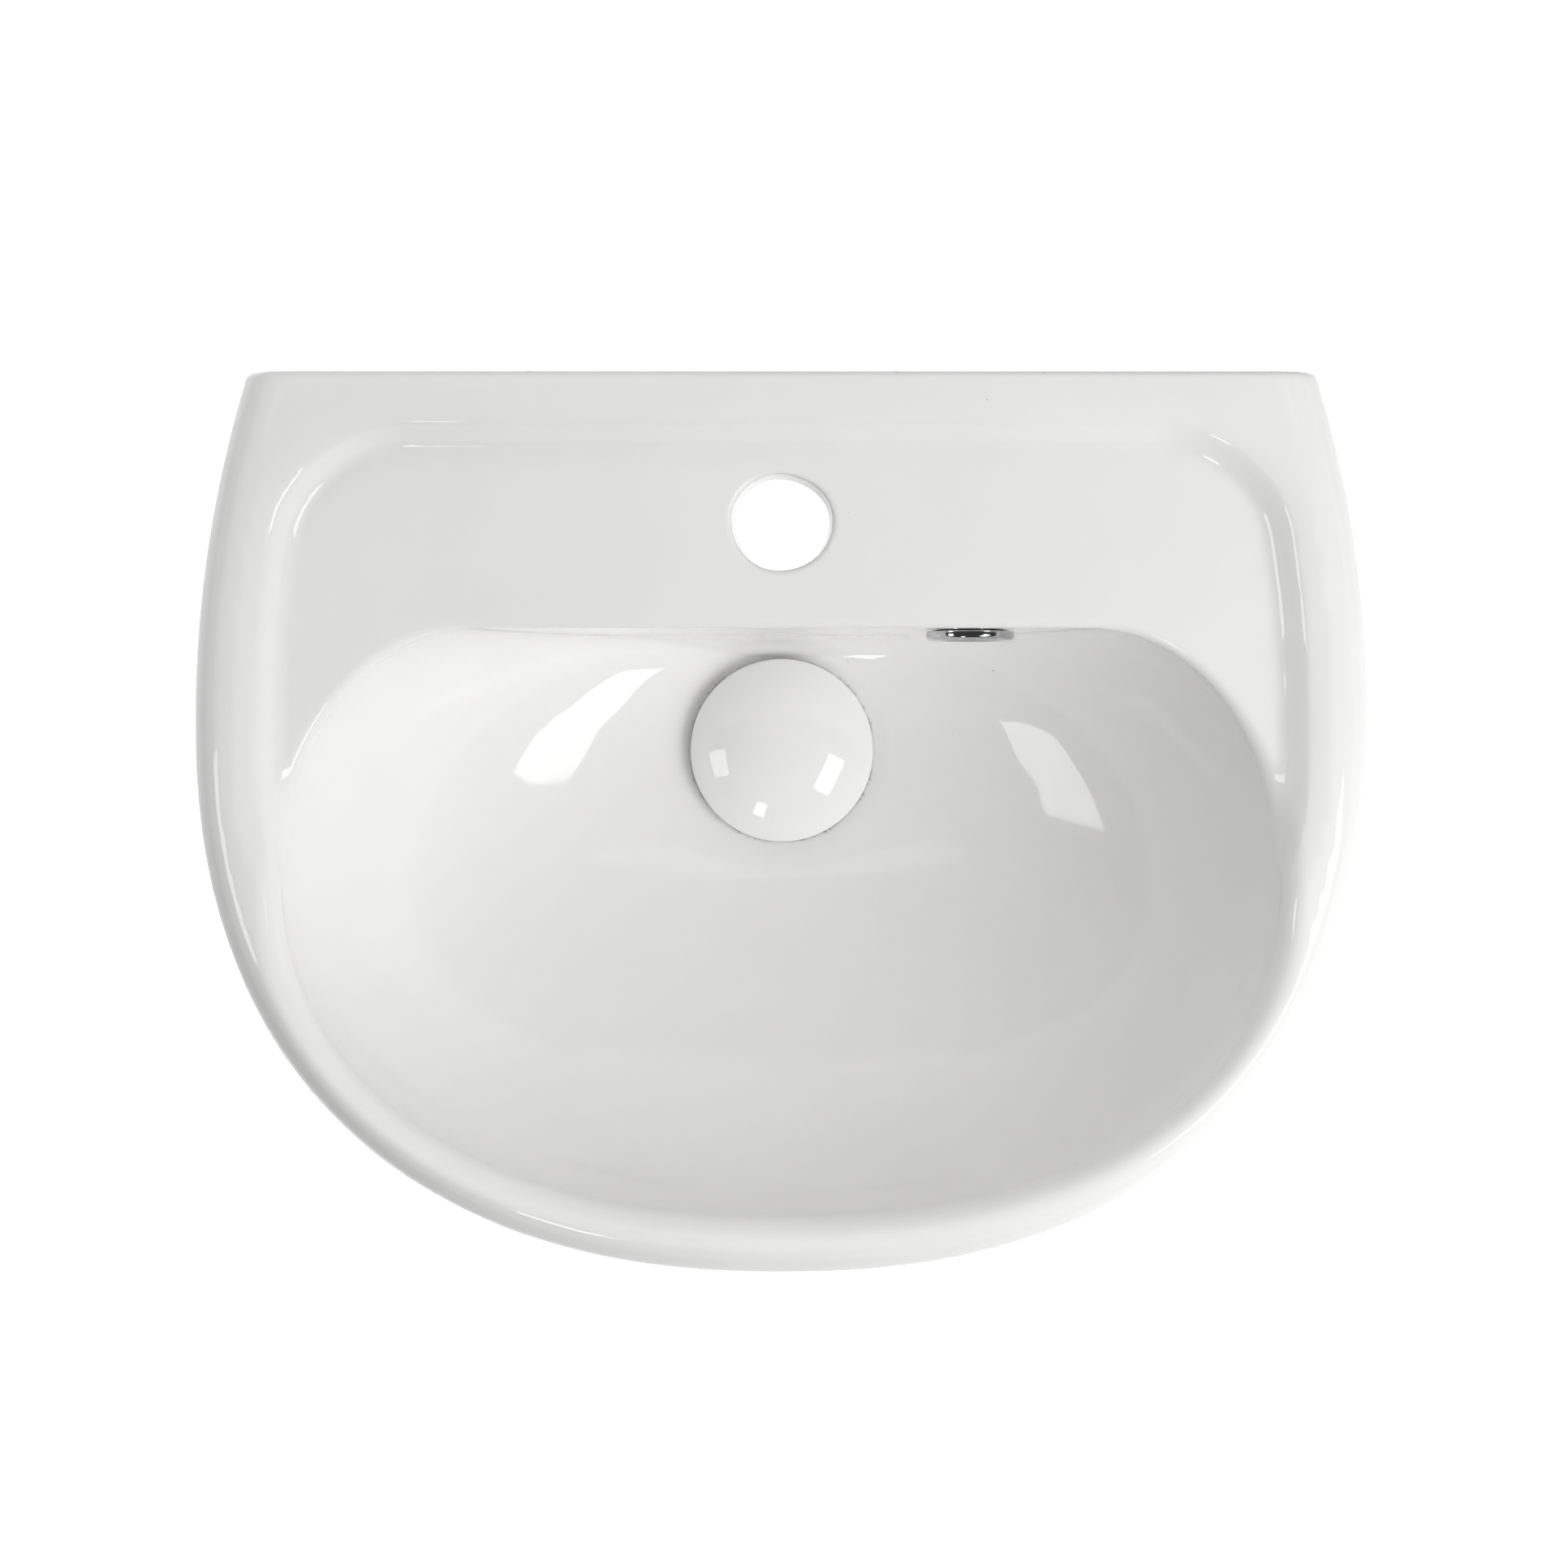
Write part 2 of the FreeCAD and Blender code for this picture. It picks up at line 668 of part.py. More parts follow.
def waste_body():
    runout_r = "tail_r - runout_deep"
    body = turned("waste_body", [
        ("seat_r", "0"), ("flange_r", "0"), ("flange_r", "- flange_thick"), ("neck_r", "- flange_thick"),
        ("neck_r", "- neck_tall"), ("tail_r", "- neck_tall"), ("tail_r", RUNOUT_TOP),
        (runout_r, RUNOUT_TOP), (runout_r, RUNOUT_FOOT), ("tail_r", RUNOUT_FOOT),
        ("tail_r", "- tail_length"), ("tail_bore_r", "- tail_length"), ("tail_bore_r", "- seat_drop")])
    radial_cut(body, "overflow_window", "window_wide", "- window_top", "- window_top - window_tall",
               "windows")
    arm_sketch = attached_sketch(body, "arm_sketch", "XY_Plane")
    arm_sketch.setExpression("AttachmentOffset.Base.z", bound(HUB_FOOT))
    arm_end = "tail_bore_r + cement_gap"
    half, reach = size("arm_wide") / 2, total(arm_end)
    points = [V(0, -half, 0), V(reach, -half, 0), V(reach, half, 0), V(0, half, 0)]
    for i, start in enumerate(points):
        arm_sketch.addGeometry(Part.LineSegment(start, points[(i + 1) % 4]))
    for i, (across, side) in enumerate((("0", "-"), (arm_end, "-"), (arm_end, ""), ("0", ""))):
        arm_sketch.addConstraint(Sketcher.Constraint("Coincident", (i - 1) % 4, 2, i, 1))
        index = arm_sketch.addConstraint(Sketcher.Constraint("DistanceX", -1, 1, i, 1, points[i].x))
        arm_sketch.setExpression(f"Constraints[{index}]", bound(across))
        index = arm_sketch.addConstraint(Sketcher.Constraint("DistanceY", -1, 1, i, 1, points[i].y))
        arm_sketch.setExpression(f"Constraints[{index}]", f"{side}Sizes.arm_wide / 2")
    arm = body.newObject("PartDesign::Pad", "arm")
    arm.Profile = arm_sketch
    arm.setExpression("Length", "Sizes.hub_tall")
    body.Tip = arm
    repeated(body, arm, "arms")
    hub = body.newObject("PartDesign::Pad", "hub")
    hub.Profile = circle_profile(body, "hub_circle", "hub_r", HUB_FOOT)
    hub.setExpression("Length", "Sizes.hub_tall")
    body.Tip = hub
    bore = body.newObject("PartDesign::Pocket", "hub_bore")
    bore.Profile = circle_profile(body, "hub_bore_circle", "barrel_r + thread_play", "- hub_top")
    bore.setExpression("Length", "Sizes.hub_tall")
    body.Tip = bore
    return on_waste_axis(body)


# Gaskets, washer and nut that clamp the waste body to the boss.

ON_THREAD = "tail_r + thread_play"


def flange_gasket():
    return on_waste_axis(turned("flange_gasket", tube(
        "waste_hole_r", "flange_r - gasket_edge", "- flange_thick", "- flange_thick - gasket_thick")))


def cone_gasket():
    return on_waste_axis(turned("cone_gasket", [
        (ON_THREAD, "cone_spigot - boss_drop"), ("waste_hole_r - cone_taper", "cone_spigot - boss_drop"),
        ("waste_hole_r - thread_play", "- boss_drop"), ("cone_r", "- boss_drop"),
        ("cone_r - cone_taper", GASKET_FOOT), (ON_THREAD, GASKET_FOOT)]))


def slip_washer():
    return on_waste_axis(turned("slip_washer", tube(ON_THREAD, "washer_r", GASKET_FOOT, WASHER_FOOT)))


def hexagon(label, corner_r, tall, height):
    item = doc.addObject("Part::Prism", label)
    item.Polygon = 6
    item.setExpression("Circumradius", bound(corner_r))
    item.setExpression("Height", bound(tall))
    return on_waste_axis(item, height)


def disc(label, radius, tall, height):
    """Upright cylinder on the axis of the waste."""
    return on_waste_axis(cylinder(label, radius, tall), height)


def lock_nut():
    nut = fused("nut_blank", hexagon("nut_hexagon", "nut_corner_r", "nut_tall", NUT_FOOT),
                disc("nut_flange", "nut_flange_r", "nut_flange_thick", WASHER_FOOT + " - nut_flange_thick"))
    return cut("lock_nut", nut, disc("nut_thread", ON_THREAD, "nut_tall", NUT_FOOT))


# Cap: a domed ceramic shell with a brass plate cemented under it, and the seal that closes the waste.

PLATE_FOOT = "cap_gap + plate_sink - plate_thick"
BOSS_FOOT = PLATE_FOOT + " - plate_boss_tall"
STUD_TOP = BOSS_FOOT + " + stud_grip"
PLUNGER_TOP = BOSS_FOOT + " - locknut_tall"
STUD_FOOT = PLUNGER_TOP + " - stud_grip"
STUD_HOLE = "stud_r + thread_play"


def ceramic_cap():
    return on_waste_axis(turned("ceramic_cap", [
        ("cap_r", "cap_gap + cap_edge"), ("0", "cap_gap + cap_edge + cap_rise"),
        ("0", "cap_gap + plate_sink"), ("plate_r", "cap_gap + plate_sink"), ("plate_r", "cap_gap"),
        ("cap_r - cap_bevel", "cap_gap"), ("cap_r", "cap_gap + cap_bevel")], domed=(0,)))


def cap_plate():
    edge = "plate_r - cement_gap"
    return on_waste_axis(turned("cap_plate", [
        ("0", "cap_gap + plate_sink"), (edge, "cap_gap + plate_sink"), (edge, PLATE_FOOT),
        ("plate_boss_r", PLATE_FOOT), ("plate_boss_r", BOSS_FOOT), (STUD_HOLE, BOSS_FOOT),
        (STUD_HOLE, STUD_TOP), ("0", STUD_TOP)]))


def cap_seal():
    inner = "seal_r - seal_width"
    foot = PLATE_FOOT + " - seal_tall"
    return on_waste_axis(turned("cap_seal", [
        (inner, PLATE_FOOT), ("seal_r", PLATE_FOOT), ("seal_r", PLATE_FOOT + " - seal_edge"),
        ("seal_foot_r", foot), (inner, foot)]))


def cap_stud():
    return on_waste_axis(turned("cap_stud", tube("0", "stud_r", STUD_TOP, STUD_FOOT)))


def cap_locknut():
    blank = hexagon("locknut_hexagon", "locknut_corner_r", "locknut_tall", "+ " + PLUNGER_TOP)
    return cut("cap_locknut", blank, disc("locknut_thread", STUD_HOLE, "locknut_tall", "+ " + PLUNGER_TOP))


# Click cartridge: the plunger slides in the barrel, on a rotor that the spring pushes up.

BARREL_BORE = "barrel_r - barrel_wall"
ROOF_FOOT = "- barrel_top - barrel_roof"
BARREL_FOOT = "- barrel_top - barrel_length"
SHOULDER_R = BARREL_BORE + " - shoulder_play"
SHOULDER_TOP = ROOF_FOOT + " - roof_room - lift"
SHOULDER_FOOT = SHOULDER_TOP + " - shoulder_tall"
GROOVE = SHOULDER_TOP + " - groove_drop"
RING_R = BARREL_BORE + " - slide_play - ring_wire_r"
ROTOR_FOOT = SHOULDER_FOOT + " - rotor_tall"
SPRING_SEAT = BARREL_FOOT + " + end_cap_grip"


def click_plunger():
    groove_r = RING_R + " - ring_wire_r - groove_play"
    groove_top = GROOVE + " + ring_wire_r + groove_play"
    groove_foot = GROOVE + " - ring_wire_r - groove_play"
    return on_waste_axis(turned("click_plunger", [
        (STUD_HOLE, PLUNGER_TOP), ("plunger_r", PLUNGER_TOP), ("plunger_r", SHOULDER_TOP),
        (SHOULDER_R, SHOULDER_TOP), (SHOULDER_R, groove_top), (groove_r, groove_top),
        (groove_r, groove_foot), (SHOULDER_R, groove_foot), (SHOULDER_R, SHOULDER_FOOT),
        ("0", SHOULDER_FOOT), ("0", STUD_FOOT), (STUD_HOLE, STUD_FOOT)]))


def plunger_ring():
    """Moulded ring with its corners taken off."""
    corners = []
    for across, along in (("+ ring_wire_r", "+ ring_flat"), ("+ ring_wire_r", "- ring_flat"),
                          ("+ ring_flat", "- ring_wire_r"), ("- ring_flat", "- ring_wire_r"),
                          ("- ring_wire_r", "- ring_flat"), ("- ring_wire_r", "+ ring_flat"),
                          ("- ring_flat", "+ ring_wire_r"), ("+ ring_flat", "+ ring_wire_r")):
        corners.append((f"{RING_R} {across}", f"{GROOVE} {along}"))
    return on_waste_axis(turned("plunger_ring", corners))


def click_rotor():
    body = turned("click_rotor", tube("rotor_bore_r", SHOULDER_R, SHOULDER_FOOT, ROTOR_FOOT))
    radial_cut(body, "rotor_notch", "notch_wide", SHOULDER_FOOT + " + notch_deep",
               SHOULDER_FOOT + " - notch_deep", "rotor_notches")
    return on_waste_axis(body)


def arc_between(start, along, end):
    """Arc from start to end that leaves start in the direction along."""
    chord = (end - start) / 2
    middle = start + chord
    half = chord.Length
    slope = along.getAngle(chord)
    towards = (start + along.normalize() * (half / math.cos(slope))) - middle
    return Part.Arc(start, middle + towards.normalize() * half * math.tan(slope / 2), end).toShape()


def click_spring():
    """Hexagonal wire wound along a helix, each quarter turn as two arcs that join smoothly."""
    radius = size("spring_r")
    wire_r = size("spring_wire_r")
    foot = total(SPRING_SEAT) + wire_r
    top = total(ROTOR_FOOT) - size("spring_play") - wire_r
    turns = int(size("spring_turns"))
    pitch = (top - foot) / turns
    lead = pitch / (2 * math.pi)

    def place(angle):
        return V(radius * math.cos(angle), radius * math.sin(angle), foot + lead * angle)

    def heading(angle):
        return V(-radius * math.sin(angle), radius * math.cos(angle), lead).normalize()

    edges = []
    quarter = math.pi / 2
    for i in range(4 * turns):
        start, end = place(i * quarter), place((i + 1) * quarter)
        leave, arrive = heading(i * quarter), heading((i + 1) * quarter)
        span, both = end - start, leave + arrive
        spread = 4 - both.dot(both)
        reach = (-span.dot(both) + math.sqrt(span.dot(both) ** 2 + spread * span.dot(span))) / spread
        joint = (start + leave * reach + end - arrive * reach) / 2
        edges.append(arc_between(start, leave, joint))
        edges.append(arc_between(end, arrive * -1, joint))
    path = Part.Wire(Part.__sortEdges__(edges))
    outward = V(1, 0, 0)
    upward = heading(0).cross(outward)
    corners = [place(0) + outward * (wire_r * math.cos(turn)) + upward * (wire_r * math.sin(turn))
               for turn in (math.radians(60) * i for i in range(7))]
    pipe = Part.BRepOffsetAPI.MakePipeShell(path)
    pipe.add(Part.makePolygon(corners))
    pipe.build()
    pipe.makeSolid()
    print(f"spring: gap between turns {pitch - 2 * wire_r:.2f} mm")
    return on_waste_axis(feature("click_spring", pipe.shape()))


def cartridge_barrel():
    guide = "plunger_r + slide_play"
    head_foot = "barrel_washer_thick - hub_top"
    return on_waste_axis(turned("cartridge_barrel", [
        (guide, "- barrel_top"), ("barrel_head_r", "- barrel_top"), ("barrel_head_r", head_foot),
        ("barrel_r", head_foot), ("barrel_r", BARREL_FOOT), (BARREL_BORE, BARREL_FOOT),
        (BARREL_BORE, ROOF_FOOT), (guide, ROOF_FOOT)]))


def barrel_washer():
    return on_waste_axis(turned("barrel_washer", tube(
        "barrel_r + thread_play", "barrel_head_r", "barrel_washer_thick - hub_top", "- hub_top")))


def cartridge_end_cap():
    grip_r = BARREL_BORE + " - end_cap_play"
    foot = BARREL_FOOT + " - end_cap_flange"
    return on_waste_axis(turned("cartridge_end_cap", [
        ("drain_r", SPRING_SEAT), (grip_r, SPRING_SEAT), (grip_r, BARREL_FOOT), ("barrel_r", BARREL_FOOT),
        ("barrel_r", foot), ("drain_r", foot)]))


SUB_PARTS = [basin_body(), overflow_ring(), waste_body(), flange_gasket(), cone_gasket(), slip_washer(),
             lock_nut(), ceramic_cap(), cap_plate(), cap_seal(), cap_stud(), cap_locknut(), click_plunger(),
             plunger_ring(), click_rotor(), click_spring(), cartridge_barrel(), barrel_washer(),
             cartridge_end_cap()]
doc.recompute()

# Nothing is written unless every object came out whole.
for item in doc.Objects:
    if "Invalid" in item.State or "Error" in item.State:
        raise RuntimeError(f"{item.Label} failed: {item.State}")
for item in SUB_PARTS:
    if item.Shape.isNull() or not item.Shape.isValid() or len(item.Shape.Solids) != 1:
        raise RuntimeError(f"{item.Label} is not one valid solid")

os.makedirs("parts", exist_ok=True)
for item in SUB_PARTS:
    item.Shape.exportStep(f"parts/{item.Label}.step")
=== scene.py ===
import math

import bmesh
import bpy
import numpy as np
import openvdb
from mathutils import Matrix


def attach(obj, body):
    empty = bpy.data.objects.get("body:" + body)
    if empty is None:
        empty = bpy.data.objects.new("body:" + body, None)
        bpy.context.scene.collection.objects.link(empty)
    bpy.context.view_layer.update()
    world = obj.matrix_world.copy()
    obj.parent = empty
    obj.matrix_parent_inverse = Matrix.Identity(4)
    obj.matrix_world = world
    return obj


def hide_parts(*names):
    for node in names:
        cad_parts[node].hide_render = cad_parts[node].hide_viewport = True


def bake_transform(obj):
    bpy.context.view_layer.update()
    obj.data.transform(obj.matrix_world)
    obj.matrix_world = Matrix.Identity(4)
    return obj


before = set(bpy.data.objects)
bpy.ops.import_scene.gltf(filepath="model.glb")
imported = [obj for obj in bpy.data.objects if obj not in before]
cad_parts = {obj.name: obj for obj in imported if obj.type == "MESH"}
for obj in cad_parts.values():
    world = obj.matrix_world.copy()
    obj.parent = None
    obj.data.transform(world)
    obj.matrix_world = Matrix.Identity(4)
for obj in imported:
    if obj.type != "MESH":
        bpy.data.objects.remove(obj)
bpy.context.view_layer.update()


# Basin body: a small wall-hung hand basin, slip cast in one piece of vitreous china and glazed white.
# The mould gives it the rolled rim, the sunk deck for the tap, the bowl and the hollow at the wall.
# The glaze softens every edge, so the body is meshed as one rounded surface, in millimetres.

MM = 0.001
RIM_Z, DECK_Z, FLOOR_Z, FOOT_Z = 60.0, 51.0, -46.0, -62.0
OUTER_HALF, OUTER_FRONT, OUTER_FULLNESS = 202.5, 310.0, 2.3
WIDEST_DEPTH, BACK_TAPER = 119.0, 18.0
SIDE_R = (WIDEST_DEPTH ** 2 + BACK_TAPER ** 2) / (2 * BACK_TAPER)
LIP_FOOT_Z, LIP_ROLL, LIP_DRAFT, LIP_EDGE = 30.0, 9.5, 2.0, 4.0
CROWN_RUN, CREST_RUN, CROWN_R = 18.0, 10.0, 40.0
RECESS_BACK, RECESS_HALF, RECESS_REACH, RECESS_FULLNESS = 16.3, 181.7, 200.0, 4.0
RECESS_CORNER, STEP_RUN, STEP_EASE, DECK_DROP = 40.0, 12.5, 2, RIM_Z - DECK_Z
BOWL_HALF, BOWL_FRONT, BOWL_BACK, BOWL_WIDEST = 172.0, 290.0, 87.6, 172.0
BOWL_FLAT, BOWL_LEAN, LEAN_BEND, CORE_LIMIT = 107.0, 7.0, 14, 200.0
BOWL_FULLNESS, BOWL_FRONT_FULLNESS, BOWL_BACK_FULLNESS = 1.6, 2.25, 2.0
FLOOR_R, FLOOR_FLAT = 36.0, 10.0
LEDGE_ROLL, RIM_ROLL, ROLL_START, ROLL_RUN = 3.5, 11.0, 110.0, 100.0
WALL, FLOOR_WALL, PANEL = 12.0, 16.0, 12.0
BOX_TOP_Z, BOX_HALF, BOX_REACH, BOX_CORNER = 42.0, 168.0, 150.0, 45.0
BOX_TAPER, BOX_LEAN, BOX_TILT = 52.0, 46.0, 0.9
WASTE_DEPTH, WASTE_HOLE_R = 129.0, 23.0
SEAT_R, SEAT_Z, SEAT_CORNER, SEAT_EDGE = 32.7, -50.5, 0.8, 1.2
BOSS_R, BOSS_TAPER, BOSS_FOOT_Z, BOSS_EDGE = 38.0, 0.08, -88.0, 2.5
TAP_DEPTH, TAP_R, TAP_TAPER, TAP_LEAN, TAP_EDGE = 51.2, 16.5, 1.4, 0.3, 1.6
TAP_WAVES = [(2, 0.4, 0.0), (3, 0.2, 0.6), (5, 0.1, 2.1)]
EYE_X, EYE_Z, EYE_R, EYE_EDGE, EYE_AHEAD = 66.0, 27.0, 12.0, 1.2, 2.0
DUCT_HALF, DUCT_FRONT, DUCT_BACK, DUCT_TOP_Z, DUCT_FOOT_Z = 15.0, 75.6, 62.6, 39.0, -76.0
DUCT_TURN_Z, DUCT_CASE, DUCT_EDGE = -60.0, 7.0, 3.0
BOLT_X, BOLT_R, BOLT_EDGE, BOLT_PAST = 90.0, 6.5, 1.0, 4.0
FILLET, SMALL_FILLET, WALL_EDGE, HOLE_EDGE = 8.0, 4.0, 2.2, 1.8
GRID_LOW, GRID_HIGH = (-207.0, -5.0, -93.0), (207.0, 315.0, 65.0)
GRID_SPACING, QUICK_SPACING, MOST_BEND = 2.8, 3.4, 21.0


def common(a, b, radius):
    """What lies inside both fields, with the edge between them rounded."""
    over = np.hypot(np.maximum(a + radius, 0), np.maximum(b + radius, 0))
    return np.minimum(-radius, np.maximum(a, b)) + over


def joined(a, b, radius):
    """Both fields together, with a fillet where they meet."""
    return -common(-a, -b, radius)


def carved(clay, tool, radius):
    """Clay with a tool taken from it, the edge of the cut rounded."""
    return common(clay, -tool, radius)


def oval(x, y, across, along, fullness):
    """About the distance from a quarter of a superellipse, negative inside it."""
    u = np.maximum(x / across, 1e-4)
    v = np.maximum(y / along, 1e-4)
    size = (u ** fullness + v ** fullness) ** (1 / fullness)
    slope = np.hypot((u / size) ** (fullness - 1) / across, (v / size) ** (fullness - 1) / along)
    return (size - 1) / slope


def bowed_outline(x, depth, half, front, fullness):
    """Plan with gently bowed sides and a full round front."""
    side = np.hypot(x - half + SIDE_R, depth - WIDEST_DEPTH) - SIDE_R
    nose = oval(x, depth - WIDEST_DEPTH, half, front - WIDEST_DEPTH, fullness)
    return np.where(depth > WIDEST_DEPTH, nose, side)


def bowl_form(x, depth, z, wall, floor_wall):
    """The bowl's hollow, or its outside when a wall is added; its slope is limited near the core."""
    foot = FLOOR_Z - floor_wall
    ring = FLOOR_R + floor_wall

    def section(level):
        sunk = np.clip((DECK_Z - level) / (DECK_Z - foot), 0, 1)
        share = (1 - sunk ** BOWL_FULLNESS) ** (1 / BOWL_FULLNESS)
        half = ring + (BOWL_HALF + wall - ring) * share
        flat = FLOOR_FLAT + (BOWL_FLAT - FLOOR_FLAT) * share
        wide = WASTE_DEPTH + (BOWL_WIDEST - WASTE_DEPTH) * share
        front = WASTE_DEPTH + ring + (BOWL_FRONT + wall - WASTE_DEPTH - ring) * share
        back = BOWL_BACK - wall + BOWL_LEAN * sunk ** LEAN_BEND
        behind = oval(np.maximum(x - flat, 0), wide - depth, half - flat, wide - back, BOWL_BACK_FULLNESS)
        ahead = oval(x, depth - wide, half, front - wide, BOWL_FRONT_FULLNESS)
        return np.where(depth > wide, ahead, behind)

    step = 0.25
    here = section(z)
    steepest = CORE_LIMIT / np.maximum(np.abs(here), 1)
    lean = np.clip((section(z + step) - section(z - step)) / (2 * step), -steepest, steepest)
    return np.maximum(here / np.hypot(1, lean), foot - z)


def wall_box(x, depth, z, inset):
    """Plan of the box that carries the bowl on the wall, narrower towards its foot."""
    drop = np.clip((BOX_TOP_Z - z) / (BOX_TOP_Z - FOOT_Z), 0, 1)
    corner = BOX_CORNER - inset
    across = x - (BOX_HALF - BOX_TAPER * drop - inset) + corner
    along = depth - (BOX_REACH - BOX_LEAN * drop - inset) + corner
    outside = np.hypot(np.maximum(across, 0), np.maximum(along, 0))
    return BOX_TILT * (outside + np.minimum(np.maximum(across, along), 0) - corner)


def overflow_duct(x, depth, z, shell):
    """Flat passage from the overflow eye down and aslant to the waste, or its case with a shell added."""
    half, foot = DUCT_HALF + shell, DUCT_FOOT_Z - shell
    front, back = DUCT_FRONT + shell / 2, DUCT_BACK - shell
    fall = common(np.abs(x - EYE_X) - half, np.maximum(depth - front, back - depth), DUCT_EDGE)
    fall = common(fall, np.maximum(z - DUCT_TOP_Z - shell / 2, foot - z), DUCT_EDGE)
    middle = (DUCT_FRONT + DUCT_BACK) / 2
    across, forward = x - EYE_X, depth - middle
    reach = math.hypot(EYE_X, WASTE_DEPTH - middle)
    turn = math.asin(EYE_X / reach)
    along = forward * math.cos(turn) - across * math.sin(turn)
    aside = forward * math.sin(turn) + across * math.cos(turn)
    run = common(np.abs(aside) - half, np.maximum(z - DUCT_TURN_Z - shell, foot - z), DUCT_EDGE)
    run = np.maximum(run, np.maximum(-shell - along, along - reach))
    return np.minimum(fall, np.maximum(run, back - depth))


def deck_surface(x, depth, z):
    """Height over the top of the rim, which is crowned and falls in an S to the sunk deck."""
    recess = common(bowed_outline(x, depth, RECESS_HALF, RECESS_REACH, RECESS_FULLNESS),
                    RECESS_BACK - depth, RECESS_CORNER)
    share = np.clip(1 + recess / STEP_RUN, 0, 1)
    rise = 1 - (1 - share) ** STEP_EASE * (1 + STEP_EASE * share)
    steepness = STEP_EASE * (STEP_EASE + 1) * share * (1 - share) ** (STEP_EASE - 1) / STEP_RUN
    past_crest = np.maximum(CREST_RUN - recess, 0)
    drop = DECK_DROP - past_crest ** 2 / (2 * CROWN_R)
    slope = drop * steepness + rise * past_crest / CROWN_R
    return (z - DECK_Z - drop * rise) / np.hypot(1, slope)


def china(side, depth, z):
    """The whole casting: negative inside the clay, about in millimetres from its surface."""
    x = np.abs(side)
    draft = LIP_DRAFT * np.clip((RIM_Z - LIP_ROLL - z) / (RIM_Z - LIP_ROLL - LIP_FOOT_Z), 0, 1)
    lip = bowed_outline(x, depth, OUTER_HALF, OUTER_FRONT, OUTER_FULLNESS)
    crown = np.maximum(CROWN_RUN + lip, 0) ** 2 / (2 * CROWN_R)
    lip = common(common(lip + draft, z - RIM_Z + crown, LIP_ROLL), LIP_FOOT_Z - z, LIP_EDGE)
    box = np.maximum(common(wall_box(x, depth, z, 0.0), FOOT_Z - z, SMALL_FILLET), z - BOX_TOP_Z)
    bay = common(wall_box(x, depth, z, WALL), z - DECK_Z + WALL, FILLET)
    clay = joined(lip, box, FILLET)
    clay = carved(clay, common(bay, PANEL - depth, FILLET), SMALL_FILLET)
    belly = np.maximum(bowl_form(x, depth, z, WALL, FLOOR_WALL), z - BOX_TOP_Z)
    clay = joined(clay, belly, FILLET)
    off_axis = np.hypot(x, depth - WASTE_DEPTH)
    boss = off_axis - BOSS_R + BOSS_TAPER * (SEAT_Z - z)
    clay = joined(clay, np.maximum(common(boss, BOSS_FOOT_Z - z, BOSS_EDGE), z - SEAT_Z), FILLET)
    clay = joined(clay, overflow_duct(side, depth, z, DUCT_CASE), SMALL_FILLET)
    clay = np.maximum(clay, deck_surface(x, depth, z))
    roll = LEDGE_ROLL + (RIM_ROLL - LEDGE_ROLL) * np.clip((depth - ROLL_START) / ROLL_RUN, 0, 1)
    clay = carved(clay, bowl_form(x, depth, z, 0.0, 0.0), roll)
    clay = np.maximum(clay, -overflow_duct(side, depth, z, 0.0))
    below = (DECK_Z - z) / WALL
    off_tap = depth - TAP_DEPTH - TAP_LEAN * below
    turn = np.arctan2(off_tap, side)
    wobble = sum(size * np.cos(count * turn + phase) for count, size, phase in TAP_WAVES)
    tap = np.hypot(x, off_tap) - TAP_R - TAP_TAPER * (0.5 - below) - wobble
    clay = carved(clay, np.maximum(tap, DECK_Z - 2 * WALL - z), TAP_EDGE)
    clay = carved(clay, np.maximum(off_axis - WASTE_HOLE_R, z - DECK_Z), HOLE_EDGE)
    clay = carved(clay, common(off_axis - SEAT_R, SEAT_Z - z, SEAT_CORNER), SEAT_EDGE)
    eye = np.hypot(side - EYE_X, z - EYE_Z) - EYE_R
    clay = carved(clay, np.maximum(eye, np.abs(depth - BOWL_BACK - EYE_AHEAD) - WALL - EYE_AHEAD), EYE_EDGE)
    bolt = np.hypot(x - BOLT_X, z) - BOLT_R
    clay = carved(clay, np.maximum(bolt, depth - PANEL - BOLT_PAST), BOLT_EDGE)
    return common(clay, -depth, WALL_EDGE)


def slope_of(form, points):
    """Gradient of a field at points, by small steps along each axis."""
    step = 0.05
    parts = []
    for axis in np.eye(3) * step:
        parts.append((form(*(points + axis).T) - form(*(points - axis).T)) / (2 * step))
    return np.stack(parts, axis=1)


def outward(points):
    """Unit normals of the china at points."""
    slope = slope_of(china, points)
    return slope / np.maximum(np.linalg.norm(slope, axis=1, keepdims=True), 1e-6)


def drawn_on(points, rounds, reach):
    """Points moved along the slope of the field on to the surface of the china."""
    flattest = 0.05
    for _ in range(rounds):
        slope = slope_of(china, points)
        steep = np.maximum((slope ** 2).sum(1, keepdims=True), flattest)
        move = china(*points.T)[:, None] * slope / steep
        points = points - np.clip(move, -reach, reach)
    return points


